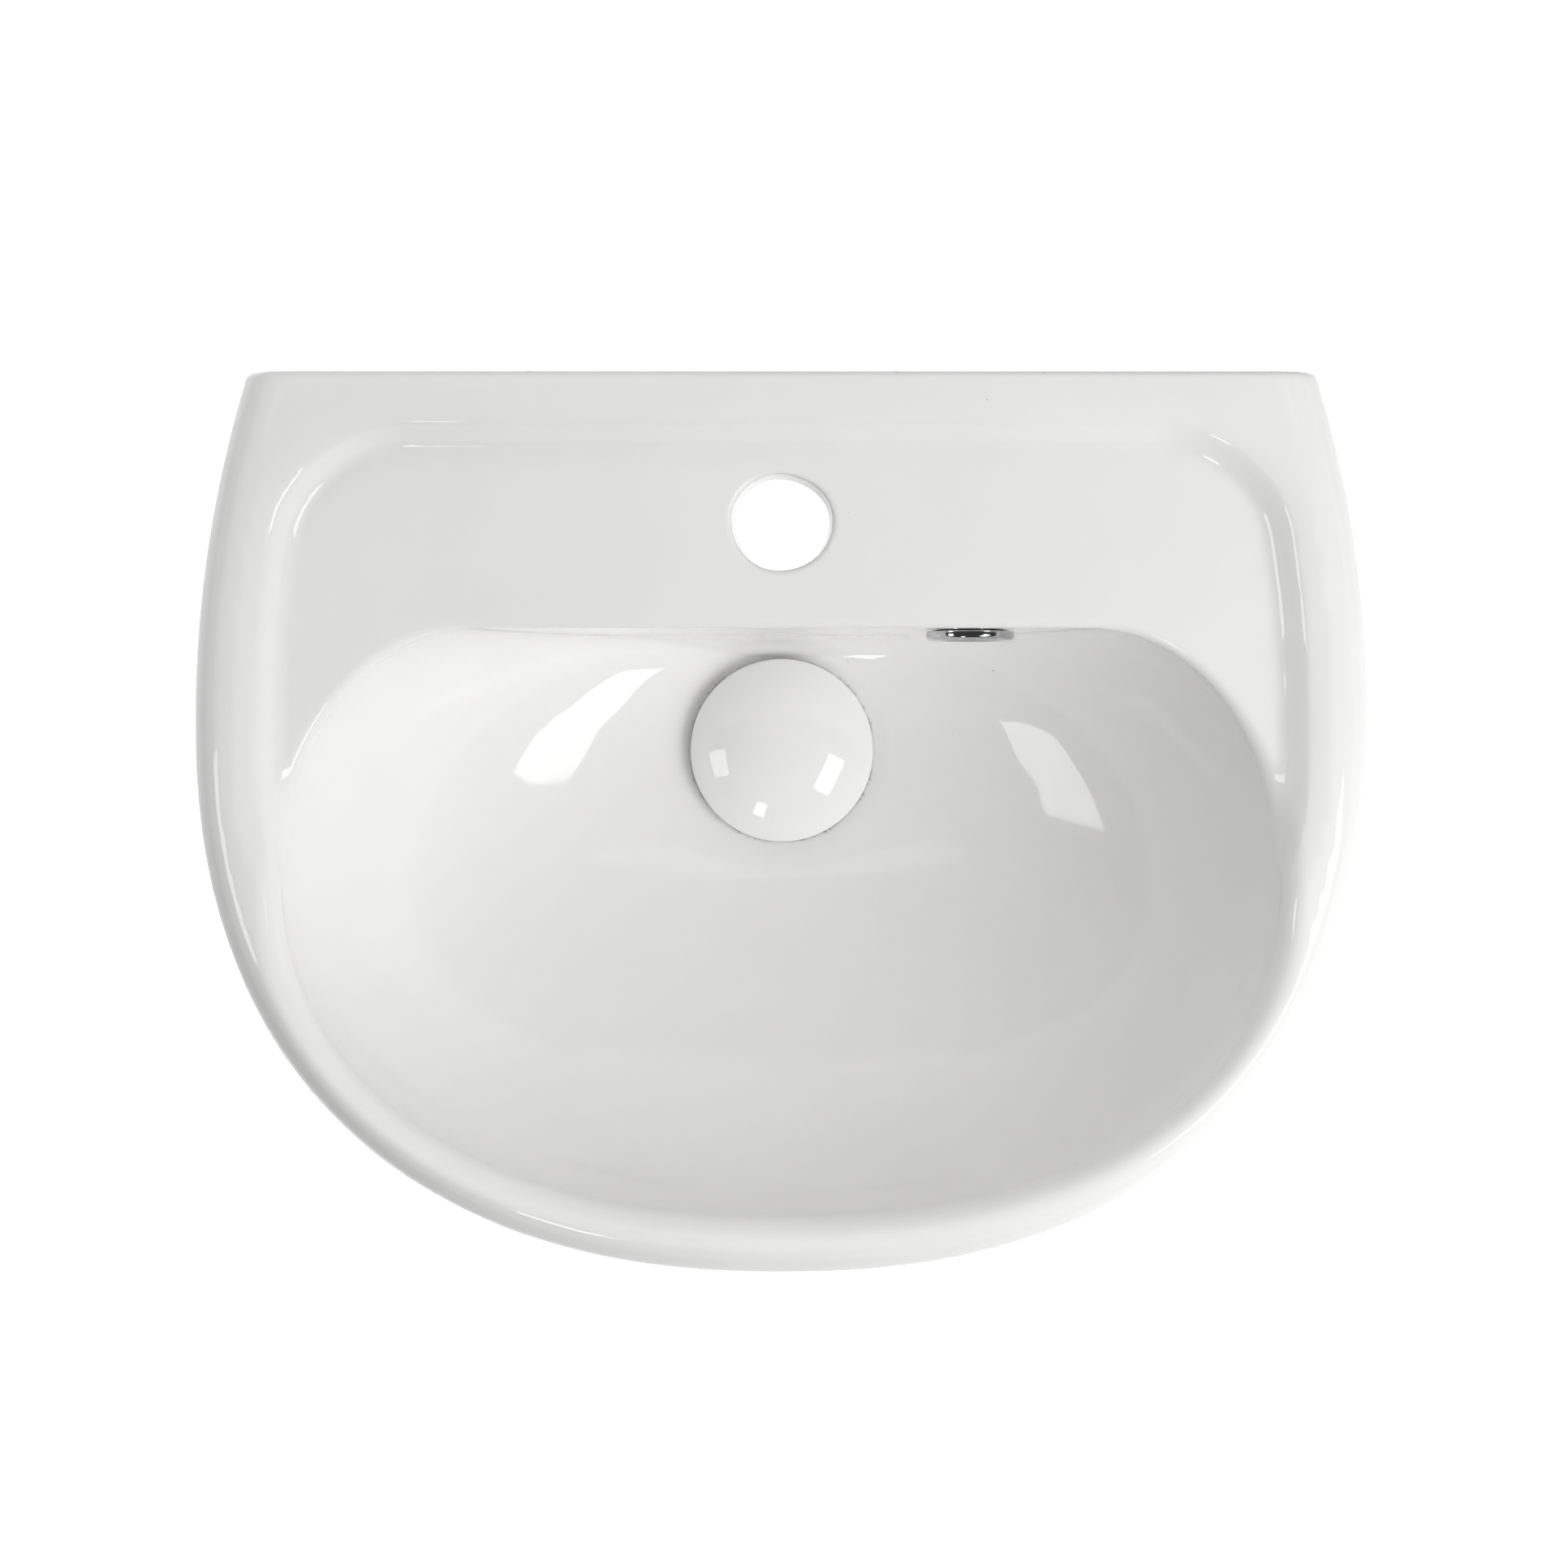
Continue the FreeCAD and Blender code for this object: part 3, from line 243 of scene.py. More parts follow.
def split_where_bent(points, quads, most_bend):
    """Quads on tight rolls split in four; faces beside them take up the new corners, so no gap opens."""
    turned = outward(points)[quads]
    closeness = (turned * np.roll(turned, 1, axis=1)).sum(axis=2).min(axis=1)
    bent = closeness < math.cos(math.radians(most_bend))
    edges = np.sort(np.stack([quads, np.roll(quads, -1, axis=1)], axis=2), axis=2)
    halved = np.unique(edges[bent].reshape(-1, 2), axis=0)
    middles = {tuple(edge): len(points) + i for i, edge in enumerate(halved.tolist())}
    centre = len(points) + len(halved)
    faces = []
    for corners, split in zip(quads.tolist(), bent):
        loop = []
        for start, end in zip(corners, corners[1:] + corners[:1]):
            loop.append(start)
            edge = (min(start, end), max(start, end))
            if edge in middles:
                loop.append(middles[edge])
        if split:
            faces += [(loop[i], loop[i + 1], centre, loop[i - 1]) for i in range(0, len(loop), 2)]
            centre += 1
        else:
            faces.append(tuple(loop))
    return np.concatenate([points, points[halved].mean(axis=1), points[quads[bent]].mean(axis=1)]), faces


def cast_basin(name, spacing):
    """Mesh of the china: a coarse surface from a grid, then every point drawn on to the true one."""
    levels = [np.arange(low, high + spacing, spacing) for low, high in zip(GRID_LOW, GRID_HIGH)]
    field = china(*np.meshgrid(*levels, indexing="ij"))
    grid = openvdb.FloatGrid(background=spacing)
    grid.copyFromArray(field.astype(np.float32))
    points, quads = grid.convertToQuads()
    points = np.array(GRID_LOW) + points.astype(float) * spacing
    points = drawn_on(points, rounds=4, reach=spacing / 2)
    points, faces = split_where_bent(points, quads[:, ::-1], MOST_BEND)
    points = drawn_on(points, rounds=3, reach=spacing / 4)
    forward = np.array([1.0, -1.0, 1.0])
    mesh = bpy.data.meshes.new(name)
    mesh.from_pydata((points * forward * MM).tolist(), [], faces)
    mesh.polygons.foreach_set("use_smooth", [True] * len(mesh.polygons))
    mesh.normals_split_custom_set_from_vertices((outward(points) * forward).tolist())
    piece = bpy.data.objects.new(name, mesh)
    bpy.context.collection.objects.link(piece)
    return piece


def node(tree, kind, inputs=None, **settings):
    """Shader node with its settings, and its inputs linked or set by name."""
    item = tree.nodes.new("ShaderNode" + kind)
    for key, value in settings.items():
        setattr(item, key, value)
    for key, value in (inputs or {}).items():
        if isinstance(value, bpy.types.NodeSocket):
            tree.links.new(value, item.inputs[key])
        else:
            item.inputs[key].default_value = value
    return item


def effect(name, inputs, outputs):
    """Empty node group with named values; gives its tree, what comes in and what goes out."""
    tree = bpy.data.node_groups.new(name, "ShaderNodeTree")
    for label, value in inputs.items():
        socket = tree.interface.new_socket(label, in_out="INPUT", socket_type="NodeSocketFloat")
        socket.default_value = value
    for label in outputs:
        tree.interface.new_socket(label, in_out="OUTPUT", socket_type="NodeSocketFloat")
    return tree, tree.nodes.new("NodeGroupInput").outputs, tree.nodes.new("NodeGroupOutput").inputs


def math_node(tree, operation, *values):
    """Result of one arithmetic step on values and sockets."""
    return node(tree, "Math", dict(enumerate(values)), operation=operation).outputs[0]


def ramp(tree, value, start, end, low=0.0, high=1.0):
    """Smooth change from low to high as a value goes from start to end."""
    item = node(tree, "MapRange", {"Value": value, "From Min": start, "From Max": end, "To Min": low,
                                   "To Max": high}, interpolation_type="SMOOTHSTEP")
    return item.outputs["Result"]


def mixed(tree, share, first, second):
    """Colour between two others, by a share."""
    item = node(tree, "Mix", {0: share, 6: first, 7: second}, data_type="RGBA")
    return item.outputs[2]


def kiln_marks():
    """Sparse pinhole specks, cloudy tone and a slow ripple, as in a fired glaze."""
    tree, given, out = effect("kiln_marks", {"Speck Share": 0.2}, ["Specks", "Cloud", "Ripple"])
    place = node(tree, "TexCoord").outputs["Object"]
    cells = node(tree, "TexVoronoi", {"Vector": place, "Scale": 130.0}, feature="F1")
    chance = node(tree, "SeparateColor", {0: cells.outputs["Color"]})
    wide = ramp(tree, chance.outputs["Green"], 0.0, 1.0, low=0.012, high=0.035)
    spot = math_node(tree, "LESS_THAN", cells.outputs["Distance"], wide)
    picked = math_node(tree, "LESS_THAN", chance.outputs["Red"], given["Speck Share"])
    tree.links.new(math_node(tree, "MULTIPLY", spot, picked), out["Specks"])
    cloud = node(tree, "TexNoise", {"Vector": place, "Scale": 14.0, "Detail": 3.0})
    tree.links.new(cloud.outputs["Fac"], out["Cloud"])
    ripple = node(tree, "TexNoise", {"Vector": place, "Scale": 45.0, "Detail": 1.0})
    tree.links.new(ripple.outputs["Fac"], out["Ripple"])
    return tree


KILN_MARKS = kiln_marks()
GLAZE_WHITE = (0.862, 0.86, 0.853, 1)
GLAZE_CLOUD = (0.845, 0.843, 0.836, 1)
SPECK_GREY = (0.42, 0.40, 0.37, 1)
GLAZE_ROUGH, GLAZE_SMOOTHEST, GLAZE_DULLEST, RIPPLE_DEEP = 0.05, 0.035, 0.06, 0.3 * MM
BISCUIT = (0.66, 0.61, 0.54, 1)
BISCUIT_ROUGH, BISCUIT_BLUR, BASIN_SPECKS = 0.85, 0.05, 0.16
SPOT_REACH, SPOT_START, SPOT_END = 8.0, 4.9, 5.1
WIPED_FOOT_Z, WIPED_TOP_Z, WIPED_LOW, WIPED_HIGH = 44.0, 54.0, 0.8, 0.07


def new_finish(name, roughness, metallic=0.0):
    """Material with a Principled shader; gives the material, its tree and the shader."""
    material = bpy.data.materials.new(name)
    material.use_nodes = True
    tree = material.node_tree
    shader = tree.nodes["Principled BSDF"]
    shader.inputs["Roughness"].default_value = roughness
    shader.inputs["Metallic"].default_value = metallic
    return material, tree, shader


def group_node(tree, group, **values):
    """Outputs of an effect placed in a material with its own values."""
    item = tree.nodes.new("ShaderNodeGroup")
    item.node_tree = group
    for label, value in values.items():
        item.inputs[label.replace("_", " ")].default_value = value
    return item.outputs


def bumped(tree, shader, height, distance):
    """Fine relief on a shader; a height of one stands out by the distance, in metres."""
    bump = node(tree, "Bump", {"Height": height, "Distance": distance})
    tree.links.new(bump.outputs["Normal"], shader.inputs["Normal"])


def glaze(name, speck_share, bare_back):
    """White glaze; with bare_back the face at the wall and odd spots along its edge are biscuit."""
    material, tree, shader = new_finish(name, GLAZE_ROUGH)
    marks = group_node(tree, KILN_MARKS, Speck_Share=speck_share)
    colour = mixed(tree, ramp(tree, marks["Cloud"], 0.35, 0.65), GLAZE_WHITE, GLAZE_CLOUD)
    colour = mixed(tree, marks["Specks"], colour, SPECK_GREY)
    roughness = ramp(tree, marks["Cloud"], 0.3, 0.7, low=GLAZE_SMOOTHEST, high=GLAZE_DULLEST)
    if bare_back:
        place = node(tree, "TexCoord").outputs["Object"]
        ragged = node(tree, "TexNoise", {"Vector": place, "Scale": 420.0, "Detail": 4.0})
        along = node(tree, "SeparateXYZ", {0: place}).outputs
        depth = math_node(tree, "MULTIPLY", along["Y"], 1 / MM)
        spots = math_node(tree, "MULTIPLY_ADD", ragged.outputs["Fac"], SPOT_REACH, depth)
        spots = ramp(tree, spots, SPOT_START, SPOT_END)
        wiped = ramp(tree, along["Z"], WIPED_FOOT_Z * MM, WIPED_TOP_Z * MM, low=WIPED_LOW, high=WIPED_HIGH)
        face = ramp(tree, math_node(tree, "ADD", depth, wiped), -BISCUIT_BLUR, BISCUIT_BLUR)
        bare = math_node(tree, "MAXIMUM", face, spots)
        colour = mixed(tree, bare, colour, BISCUIT)
        roughness = node(tree, "Mix", {0: bare, 2: roughness, 3: BISCUIT_ROUGH}).outputs[0]
    tree.links.new(colour, shader.inputs["Base Color"])
    tree.links.new(roughness, shader.inputs["Roughness"])
    bumped(tree, shader, marks["Ripple"], RIPPLE_DEEP)
    return material


basin = cast_basin("china_basin", GRID_SPACING)
basin.data.materials.append(glaze("basin_glaze", BASIN_SPECKS, True))
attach(basin, "basin")
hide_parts("basin_body")


# Overflow ring: a pressed and chromed brass ring that covers the raw edge of the overflow eye.
# Its face is a soft roll, and a split sleeve behind it springs into the hole in the back of the bowl.

FILLET_STEPS, LONGEST_FILLET = 5, 0.49


def filleted(corners):
    """Closed section through (across, along, radius) corners, each rounded to its radius."""
    points = []
    count = len(corners)
    for i, (across, along, radius) in enumerate(corners):
        here = np.array([across, along])
        before = np.array(corners[i - 1][:2]) - here
        after = np.array(corners[(i + 1) % count][:2]) - here
        if radius <= 0:
            points.append(here)
            continue
        before_long, after_long = np.linalg.norm(before), np.linalg.norm(after)
        before, after = before / before_long, after / after_long
        half = math.acos(np.clip(before @ after, -1, 1)) / 2
        reach = min(radius / math.tan(half), before_long * LONGEST_FILLET, after_long * LONGEST_FILLET)
        round_r = reach * math.tan(half)
        middle = here + (before + after) / np.linalg.norm(before + after) * round_r / math.sin(half)
        start, end = here + before * reach - middle, here + after * reach - middle
        swing = math.atan2(start[0] * end[1] - start[1] * end[0], start @ end)
        for step in range(FILLET_STEPS + 1):
            turn = swing * step / FILLET_STEPS
            points.append(middle + np.array([start[0] * math.cos(turn) - start[1] * math.sin(turn),
                                             start[0] * math.sin(turn) + start[1] * math.cos(turn)]))
    return np.array(points)


def smoothed(mesh, sharp_angle):
    """Smooth shading, with edges over an angle kept sharp where one is given."""
    mesh.polygons.foreach_set("use_smooth", [True] * len(mesh.polygons))
    if sharp_angle:
        mesh.set_sharp_from_angle(angle=math.radians(sharp_angle))


def mesh_piece(name, points, faces, sharp_angle=None):
    """Object with a smooth mesh whose points are in millimetres."""
    mesh = bpy.data.meshes.new(name)
    mesh.from_pydata((np.asarray(points) * MM).tolist(), [], faces)
    form = bmesh.new()
    form.from_mesh(mesh)
    bmesh.ops.remove_doubles(form, verts=form.verts, dist=1e-6)
    bmesh.ops.dissolve_degenerate(form, edges=form.edges, dist=1e-7)
    bmesh.ops.recalc_face_normals(form, faces=form.faces)
    form.to_mesh(mesh)
    form.free()
    smoothed(mesh, sharp_angle)
    piece = bpy.data.objects.new(name, mesh)
    bpy.context.collection.objects.link(piece)
    return piece


def spun(section, segments, reshape=None):
    """Points and faces of a closed section turned about the axis; reshape changes each radius."""
    turns = np.arange(segments) * (2 * math.pi / segments)
    radius, height = section[:, :1], section[:, 1:]
    radius = np.repeat(radius, segments, axis=1)
    height = np.repeat(height, segments, axis=1)
    if reshape:
        radius = reshape(radius, height, turns[None, :])
    points = np.stack([radius * np.cos(turns), radius * np.sin(turns), height], axis=2).reshape(-1, 3)
    faces = []
    rows = len(section)
    for i in range(rows):
        here, after = i * segments, (i + 1) % rows * segments
        for j in range(segments):
            k = (j + 1) % segments
            faces.append((here + j, here + k, after + k, after + j))
    return points, faces


def bar(x0, x1, half, z0, z1):
    """Points and faces of a square bar along X."""
    points = [(x, y, z) for x in (x0, x1) for y in (-half, half) for z in (z0, z1)]
    faces = [(0, 1, 3, 2), (4, 6, 7, 5), (0, 4, 5, 1), (2, 3, 7, 6), (0, 2, 6, 4), (1, 5, 7, 3)]
    return np.array(points), faces


def turned_about(points, angle):
    """Points turned about the upright axis."""
    x, y, z = points.T
    cosine, sine = math.cos(angle), math.sin(angle)
    return np.stack([x * cosine - y * sine, x * sine + y * cosine, z], axis=1)


def combined(piece, other, operation):
    """Piece after a boolean with another object, which is used up."""
    step = piece.modifiers.new("combined", "BOOLEAN")
    step.operation = operation
    step.solver = "EXACT"
    step.object = other
    bpy.context.view_layer.update()
    whole = piece.evaluated_get(bpy.context.evaluated_depsgraph_get())
    mesh = bpy.data.meshes.new_from_object(whole)
    piece.modifiers.clear()
    piece.data = mesh
    bpy.data.objects.remove(other)


PLATE_ROUGH, PLATE_POLISH, SMEAR_DEEP = 0.08, 0.05, 0.004 * MM


def plated_marks():
    """Hazy wiping marks and tiny dried droplets on polished plate."""
    tree, given, out = effect("plated_marks", {"Haze": 0.1}, ["Roughness", "Height"])
    place = node(tree, "TexCoord").outputs["Object"]
    smear = node(tree, "TexNoise", {"Vector": place, "Scale": 160.0, "Detail": 5.0})
    drops = node(tree, "TexVoronoi", {"Vector": place, "Scale": 420.0}, feature="F1")
    dried = ramp(tree, drops.outputs["Distance"], 0.16, 0.10, low=0.0, high=0.12)
    smeared = ramp(tree, smear.outputs["Fac"], 0.4, 0.7)
    rough = math_node(tree, "MULTIPLY_ADD", smeared, given["Haze"], PLATE_POLISH)
    tree.links.new(math_node(tree, "ADD", rough, dried), out["Roughness"])
    tree.links.new(smear.outputs["Fac"], out["Height"])
    return tree


PLATED_MARKS = plated_marks()


def chrome(name, tint, haze):
    """Polished plate with its wiping marks."""
    material, tree, shader = new_finish(name, PLATE_ROUGH, metallic=1.0)
    marks = group_node(tree, PLATED_MARKS, Haze=haze)
    shader.inputs["Base Color"].default_value = tint
    tree.links.new(marks["Roughness"], shader.inputs["Roughness"])
    bumped(tree, shader, marks["Height"], SMEAR_DEEP)
    return material


RING_TINT, RING_HAZE = (0.56, 0.565, 0.57, 1), 0.06
RING_R, RING_BORE_R, RING_PROUD, RING_FACE_DEPTH, RING_SIDES = 15.5, 10.2, 3.2, 88.1, 120
SLEEVE_OUTER_R, SLEEVE_R, SLEEVE_BACK = 11.6, 11.0, -10.0
SLOT_HALF, SLOT_TOP, SLOT_PAST, SLOTS = 1.5, -1.9, 2.0, 3
RING_SECTION = [(RING_BORE_R, SLEEVE_BACK, 0.3), (RING_BORE_R, RING_PROUD, 1.6), (RING_R, RING_PROUD, 2.8),
                (RING_R, 0.0, 0.2), (SLEEVE_OUTER_R, 0.0, 0.1), (SLEEVE_OUTER_R, SLEEVE_BACK, 0.3)]


def on_eye(points):
    """Points about the turning axis moved to the overflow eye, facing forward."""
    x, y, z = np.asarray(points).T
    return np.stack([EYE_X + x, -RING_FACE_DEPTH - z, EYE_Z + y], axis=1)


def overflow_ring():
    """The ring about its own axis, with slots cut into its sleeve."""
    points, faces = spun(filleted(RING_SECTION), RING_SIDES)
    piece = mesh_piece("chrome_overflow_ring", on_eye(points), faces)
    for i in range(SLOTS):
        points, faces = bar(SLEEVE_R - SLOT_PAST, SLEEVE_R + SLOT_PAST, SLOT_HALF, 2 * SLEEVE_BACK, SLOT_TOP)
        points = turned_about(points, 2 * math.pi * i / SLOTS)
        combined(piece, mesh_piece("slot_cutter", on_eye(points), faces), "DIFFERENCE")
    smoothed(piece.data, sharp_angle=50)
    return piece


ring = overflow_ring()
ring.data.materials.append(chrome("polished_chrome", RING_TINT, RING_HAZE))
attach(ring, "basin")
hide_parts("overflow_ring")


# Waste body: a chromed brass casting with a polished flange, a conical seat for the plug and a threaded
# tail for the trap. Four windows let the overflow in, and a three-armed cross-bar carries the cartridge.

WASTE_TINT, WASTE_HAZE = (0.55, 0.555, 0.56, 1), 0.16
FLANGE_R, FLANGE_FOOT_Z, FLANGE_SIDES = 32.0, -48.5, 144
CONE_R, CONE_END_Z, SHOULDER_R, SHOULDER_FOOT_Z = 23.0, -52.0, 22.5, -55.0
TAIL_R, TAIL_BORE_R, TAIL_FOOT_Z = 20.95, 18.5, -134.0
RELIEF_R, RELIEF_TOP_Z = 20.25, -105.6
THREAD_TOP_Z, THREAD_FOOT_Z, THREAD_PITCH, THREAD_DEEP = -107.6, -133.4, 2.309, 1.1
FLANK_STEEP, CREST_WIDE = 1.25, 0.12
WASTE_SECTION = [(CONE_R, FLOOR_Z, 0.8), (FLANGE_R, FLOOR_Z, 1.0), (FLANGE_R, FLANGE_FOOT_Z, 0.5),
                 (SHOULDER_R, FLANGE_FOOT_Z, 0.3), (SHOULDER_R, SHOULDER_FOOT_Z, 0.4),
                 (TAIL_R, SHOULDER_FOOT_Z, 0.2), (TAIL_R, RELIEF_TOP_Z, 0.3), (RELIEF_R, RELIEF_TOP_Z, 0.2),
                 (RELIEF_R, THREAD_TOP_Z, 0.2), (TAIL_R, THREAD_TOP_Z, 0.0), (TAIL_R, TAIL_FOOT_Z, 0.4),
                 (TAIL_BORE_R, TAIL_FOOT_Z, 0.4), (TAIL_BORE_R, CONE_END_Z, 1.0)]
WINDOW_HALF, WINDOW_TOP_Z, WINDOW_FOOT_Z, WINDOW_PAST, WINDOWS = 5.5, -60.0, -76.0, 4.0, 4
HUB_R, HUB_BORE_R, HUB_TOP_Z, HUB_FOOT_Z, HUB_SIDES = 11.0, 8.05, -80.0, -86.0, 72
ARM_HALF, ARM_IN_HUB, ARM_IN_TAIL, ARM_STEP, ARMS = 2.5, 1.0, 0.8, 0.3, 3


def on_waste(points):
    """Points about the turning axis moved on to the axis of the waste."""
    return np.asarray(points) - np.array([0.0, WASTE_DEPTH, 0.0])


def divided(section, top, foot, spacing):
    """Section with more points along its upright runs between two heights."""
    points = []
    for i, here in enumerate(section):
        points.append(here)
        after = section[(i + 1) % len(section)]
        run = abs(after[1] - here[1])
        if run > spacing and min(after[1], here[1]) < top and max(after[1], here[1]) > foot:
            for share in np.linspace(0, 1, int(run / spacing) + 2)[1:-1]:
                points.append(here + (after - here) * share)
    return np.array(points)


def screw_cut(outer_r, top, foot, pitch, deep):
    """Reshape that cuts a right-hand thread into the outside between two heights."""
    def cut(radius, height, turn):
        phase = height / pitch - turn / (2 * math.pi)
        groove = np.abs(2 * (phase - np.floor(phase)) - 1)
        fade = np.clip(np.minimum(top - height, height - foot) / pitch, 0, 1)
        threaded = (radius > outer_r - 0.02) * fade
        return radius - deep * threaded * np.clip(FLANK_STEEP * groove - CREST_WIDE, 0, 1)
    return cut


def waste_body():
    """The turned and threaded tail, with its windows cut and the cross-bar joined on."""
    section = divided(filleted(WASTE_SECTION), THREAD_TOP_Z + 0.1, TAIL_FOOT_Z - 1, THREAD_PITCH / 8)
    thread = screw_cut(TAIL_R, THREAD_TOP_Z, THREAD_FOOT_Z, THREAD_PITCH, THREAD_DEEP)
    points, faces = spun(section, FLANGE_SIDES, thread)
    piece = mesh_piece("threaded_waste", on_waste(points), faces)
    for i in range(WINDOWS):
        points, faces = bar(TAIL_BORE_R - WINDOW_PAST, TAIL_R + WINDOW_PAST, WINDOW_HALF,
                            WINDOW_FOOT_Z, WINDOW_TOP_Z)
        points = turned_about(points, 2 * math.pi * i / WINDOWS - math.pi / 2)
        combined(piece, mesh_piece("window_cutter", on_waste(points), faces), "DIFFERENCE")
    for i in range(ARMS):
        points, faces = bar(HUB_BORE_R + ARM_IN_HUB, TAIL_BORE_R + ARM_IN_TAIL, ARM_HALF,
                            HUB_FOOT_Z + ARM_STEP, HUB_TOP_Z - ARM_STEP)
        points = turned_about(points, 2 * math.pi * i / ARMS)
        combined(piece, mesh_piece("arm", on_waste(points), faces), "UNION")
    hub = filleted([(HUB_BORE_R, HUB_TOP_Z, 0.3), (HUB_R, HUB_TOP_Z, 0.6), (HUB_R, HUB_FOOT_Z, 0.6),
                    (HUB_BORE_R, HUB_FOOT_Z, 0.3)])
    points, faces = spun(hub, HUB_SIDES)
    combined(piece, mesh_piece("hub", on_waste(points), faces), "UNION")
    smoothed(piece.data, sharp_angle=35)
    return piece


waste = waste_body()
waste.data.materials.append(chrome("waste_chrome", WASTE_TINT, WASTE_HAZE))
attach(waste, "basin")
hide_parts("waste_body")


# Seals under the flange and under the boss: moulded black rubber, a flat ring and a cone with a spigot
# that centres the tail in the hole. The nut squeezes both against the china.

def mould_grain():
    """Fine grain of a moulded surface and the paler bloom that comes with handling."""
    tree, given, out = effect("mould_grain", {"Grain Size": 900.0}, ["Bloom", "Height"])
    place = node(tree, "TexCoord").outputs["Object"]
    grain = node(tree, "TexNoise", {"Vector": place, "Scale": given["Grain Size"], "Detail": 3.0})
    bloom = node(tree, "TexNoise", {"Vector": place, "Scale": 90.0, "Detail": 4.0})
    tree.links.new(ramp(tree, bloom.outputs["Fac"], 0.4, 0.75), out["Bloom"])
    tree.links.new(grain.outputs["Fac"], out["Height"])
    return tree


MOULD_GRAIN = mould_grain()
BLOOM_ROUGHER = 0.12


def moulded(name, colour, bloom_colour, roughness, grain_size, grain_deep):
    """Moulded rubber or plastic, duller where it has bloomed."""
    material, tree, shader = new_finish(name, roughness)
    grain = group_node(tree, MOULD_GRAIN, Grain_Size=grain_size)
    tree.links.new(mixed(tree, grain["Bloom"], colour, bloom_colour), shader.inputs["Base Color"])
    dulled = ramp(tree, grain["Bloom"], 0.0, 1.0, low=roughness, high=roughness + BLOOM_ROUGHER)
    tree.links.new(dulled, shader.inputs["Roughness"])
    bumped(tree, shader, grain["Height"], grain_deep)
    return material


RUBBER_BLACK, RUBBER_BLOOM = (0.022, 0.022, 0.023, 1), (0.05, 0.05, 0.05, 1)
RUBBER = moulded("black_rubber", RUBBER_BLACK, RUBBER_BLOOM, roughness=0.55, grain_size=1400.0,
                 grain_deep=0.04 * MM)


def turned_piece(name, corners, segments, material, body, cad_node, reshape=None, spacing=None):
    """Piece turned about the axis of the waste, dressed and set on its body."""
    section = filleted(corners)
    if spacing:
        heights = section[:, 1]
        section = divided(section, heights.max() + 1, heights.min() - 1, spacing)
    points, faces = spun(section, segments, reshape)
    piece = mesh_piece(name, on_waste(points), faces, sharp_angle=40)
    piece.data.materials.append(material)
    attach(piece, body)
    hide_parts(cad_node)


LARGE_SIDES, SLIP_BORE_R, FLANGE_SEAL_R = 96, 21.0, 31.0
SPIGOT_TOP_R, SPIGOT_FOOT_R, SPIGOT_TOP_Z = 22.0, 22.95, -84.0
CONE_SEAL_TOP_R, CONE_SEAL_FOOT_R, CONE_SEAL_FOOT_Z = 33.0, 32.0, -93.0
turned_piece("flange_seal", [(WASTE_HOLE_R, FLANGE_FOOT_Z, 0.3), (FLANGE_SEAL_R, FLANGE_FOOT_Z, 0.3),
                             (FLANGE_SEAL_R, SEAT_Z, 0.6), (WASTE_HOLE_R, SEAT_Z, 0.3)],
             LARGE_SIDES, RUBBER, "basin", "flange_gasket")
turned_piece("cone_seal", [(SLIP_BORE_R, SPIGOT_TOP_Z, 0.3), (SPIGOT_TOP_R, SPIGOT_TOP_Z, 0.6),
                           (SPIGOT_FOOT_R, BOSS_FOOT_Z, 0.4), (CONE_SEAL_TOP_R, BOSS_FOOT_Z, 0.8),
                           (CONE_SEAL_FOOT_R, CONE_SEAL_FOOT_Z, 0.8), (SLIP_BORE_R, CONE_SEAL_FOOT_Z, 0.3)],
             LARGE_SIDES, RUBBER, "basin", "cone_gasket")


# Slip washer and back nut: a nylon washer that lets the nut turn without twisting the rubber, and a
# hexagonal brass nut with a flange, sawn from bar, with its corners turned off.

NYLON_PALE, NYLON_BLOOM = (0.80, 0.79, 0.74, 1), (0.72, 0.70, 0.64, 1)
NYLON = moulded("pale_nylon", NYLON_PALE, NYLON_BLOOM, roughness=0.38, grain_size=700.0,
                grain_deep=0.02 * MM)
WASHER_R, WASHER_FOOT_Z = 31.0, -94.6
turned_piece("nylon_washer", [(SLIP_BORE_R, CONE_SEAL_FOOT_Z, 0.2), (WASHER_R, CONE_SEAL_FOOT_Z, 0.4),
                              (WASHER_R, WASHER_FOOT_Z, 0.4), (SLIP_BORE_R, WASHER_FOOT_Z, 0.2)],
             LARGE_SIDES, NYLON, "basin", "slip_washer")


def turning_marks():
    """Fine rings left by the lathe, and the duller patches of handled metal."""
    tree, given, out = effect("turning_marks", {"Ring Count": 4000.0}, ["Rings", "Tarnish"])
    place = node(tree, "TexCoord").outputs["Object"]
    flat = node(tree, "VectorMath", {0: place, 1: (0.0, WASTE_DEPTH * MM, 0.0)}, operation="ADD").outputs[0]
    level = node(tree, "VectorMath", {0: flat, 1: (1.0, 1.0, 0.0)}, operation="MULTIPLY").outputs[0]
    radius = node(tree, "VectorMath", {0: level}, operation="LENGTH").outputs["Value"]
    height = node(tree, "SeparateXYZ", {0: place}).outputs["Z"]
    along = math_node(tree, "ADD", radius, height)
    grooves = math_node(tree, "MULTIPLY", along, given["Ring Count"])
    rings = node(tree, "TexNoise", {"W": grooves, "Scale": 1.0, "Detail": 3.0}, noise_dimensions="1D")
    tarnish = node(tree, "TexNoise", {"Vector": place, "Scale": 130.0, "Detail": 5.0})
    tree.links.new(rings.outputs["Fac"], out["Rings"])
    tree.links.new(ramp(tree, tarnish.outputs["Fac"], 0.42, 0.68), out["Tarnish"])
    return tree


TURNING_MARKS = turning_marks()


RING_ROUGHER, TARNISH_ROUGHER, RINGS_DEEP = 0.12, 0.14, 0.01 * MM


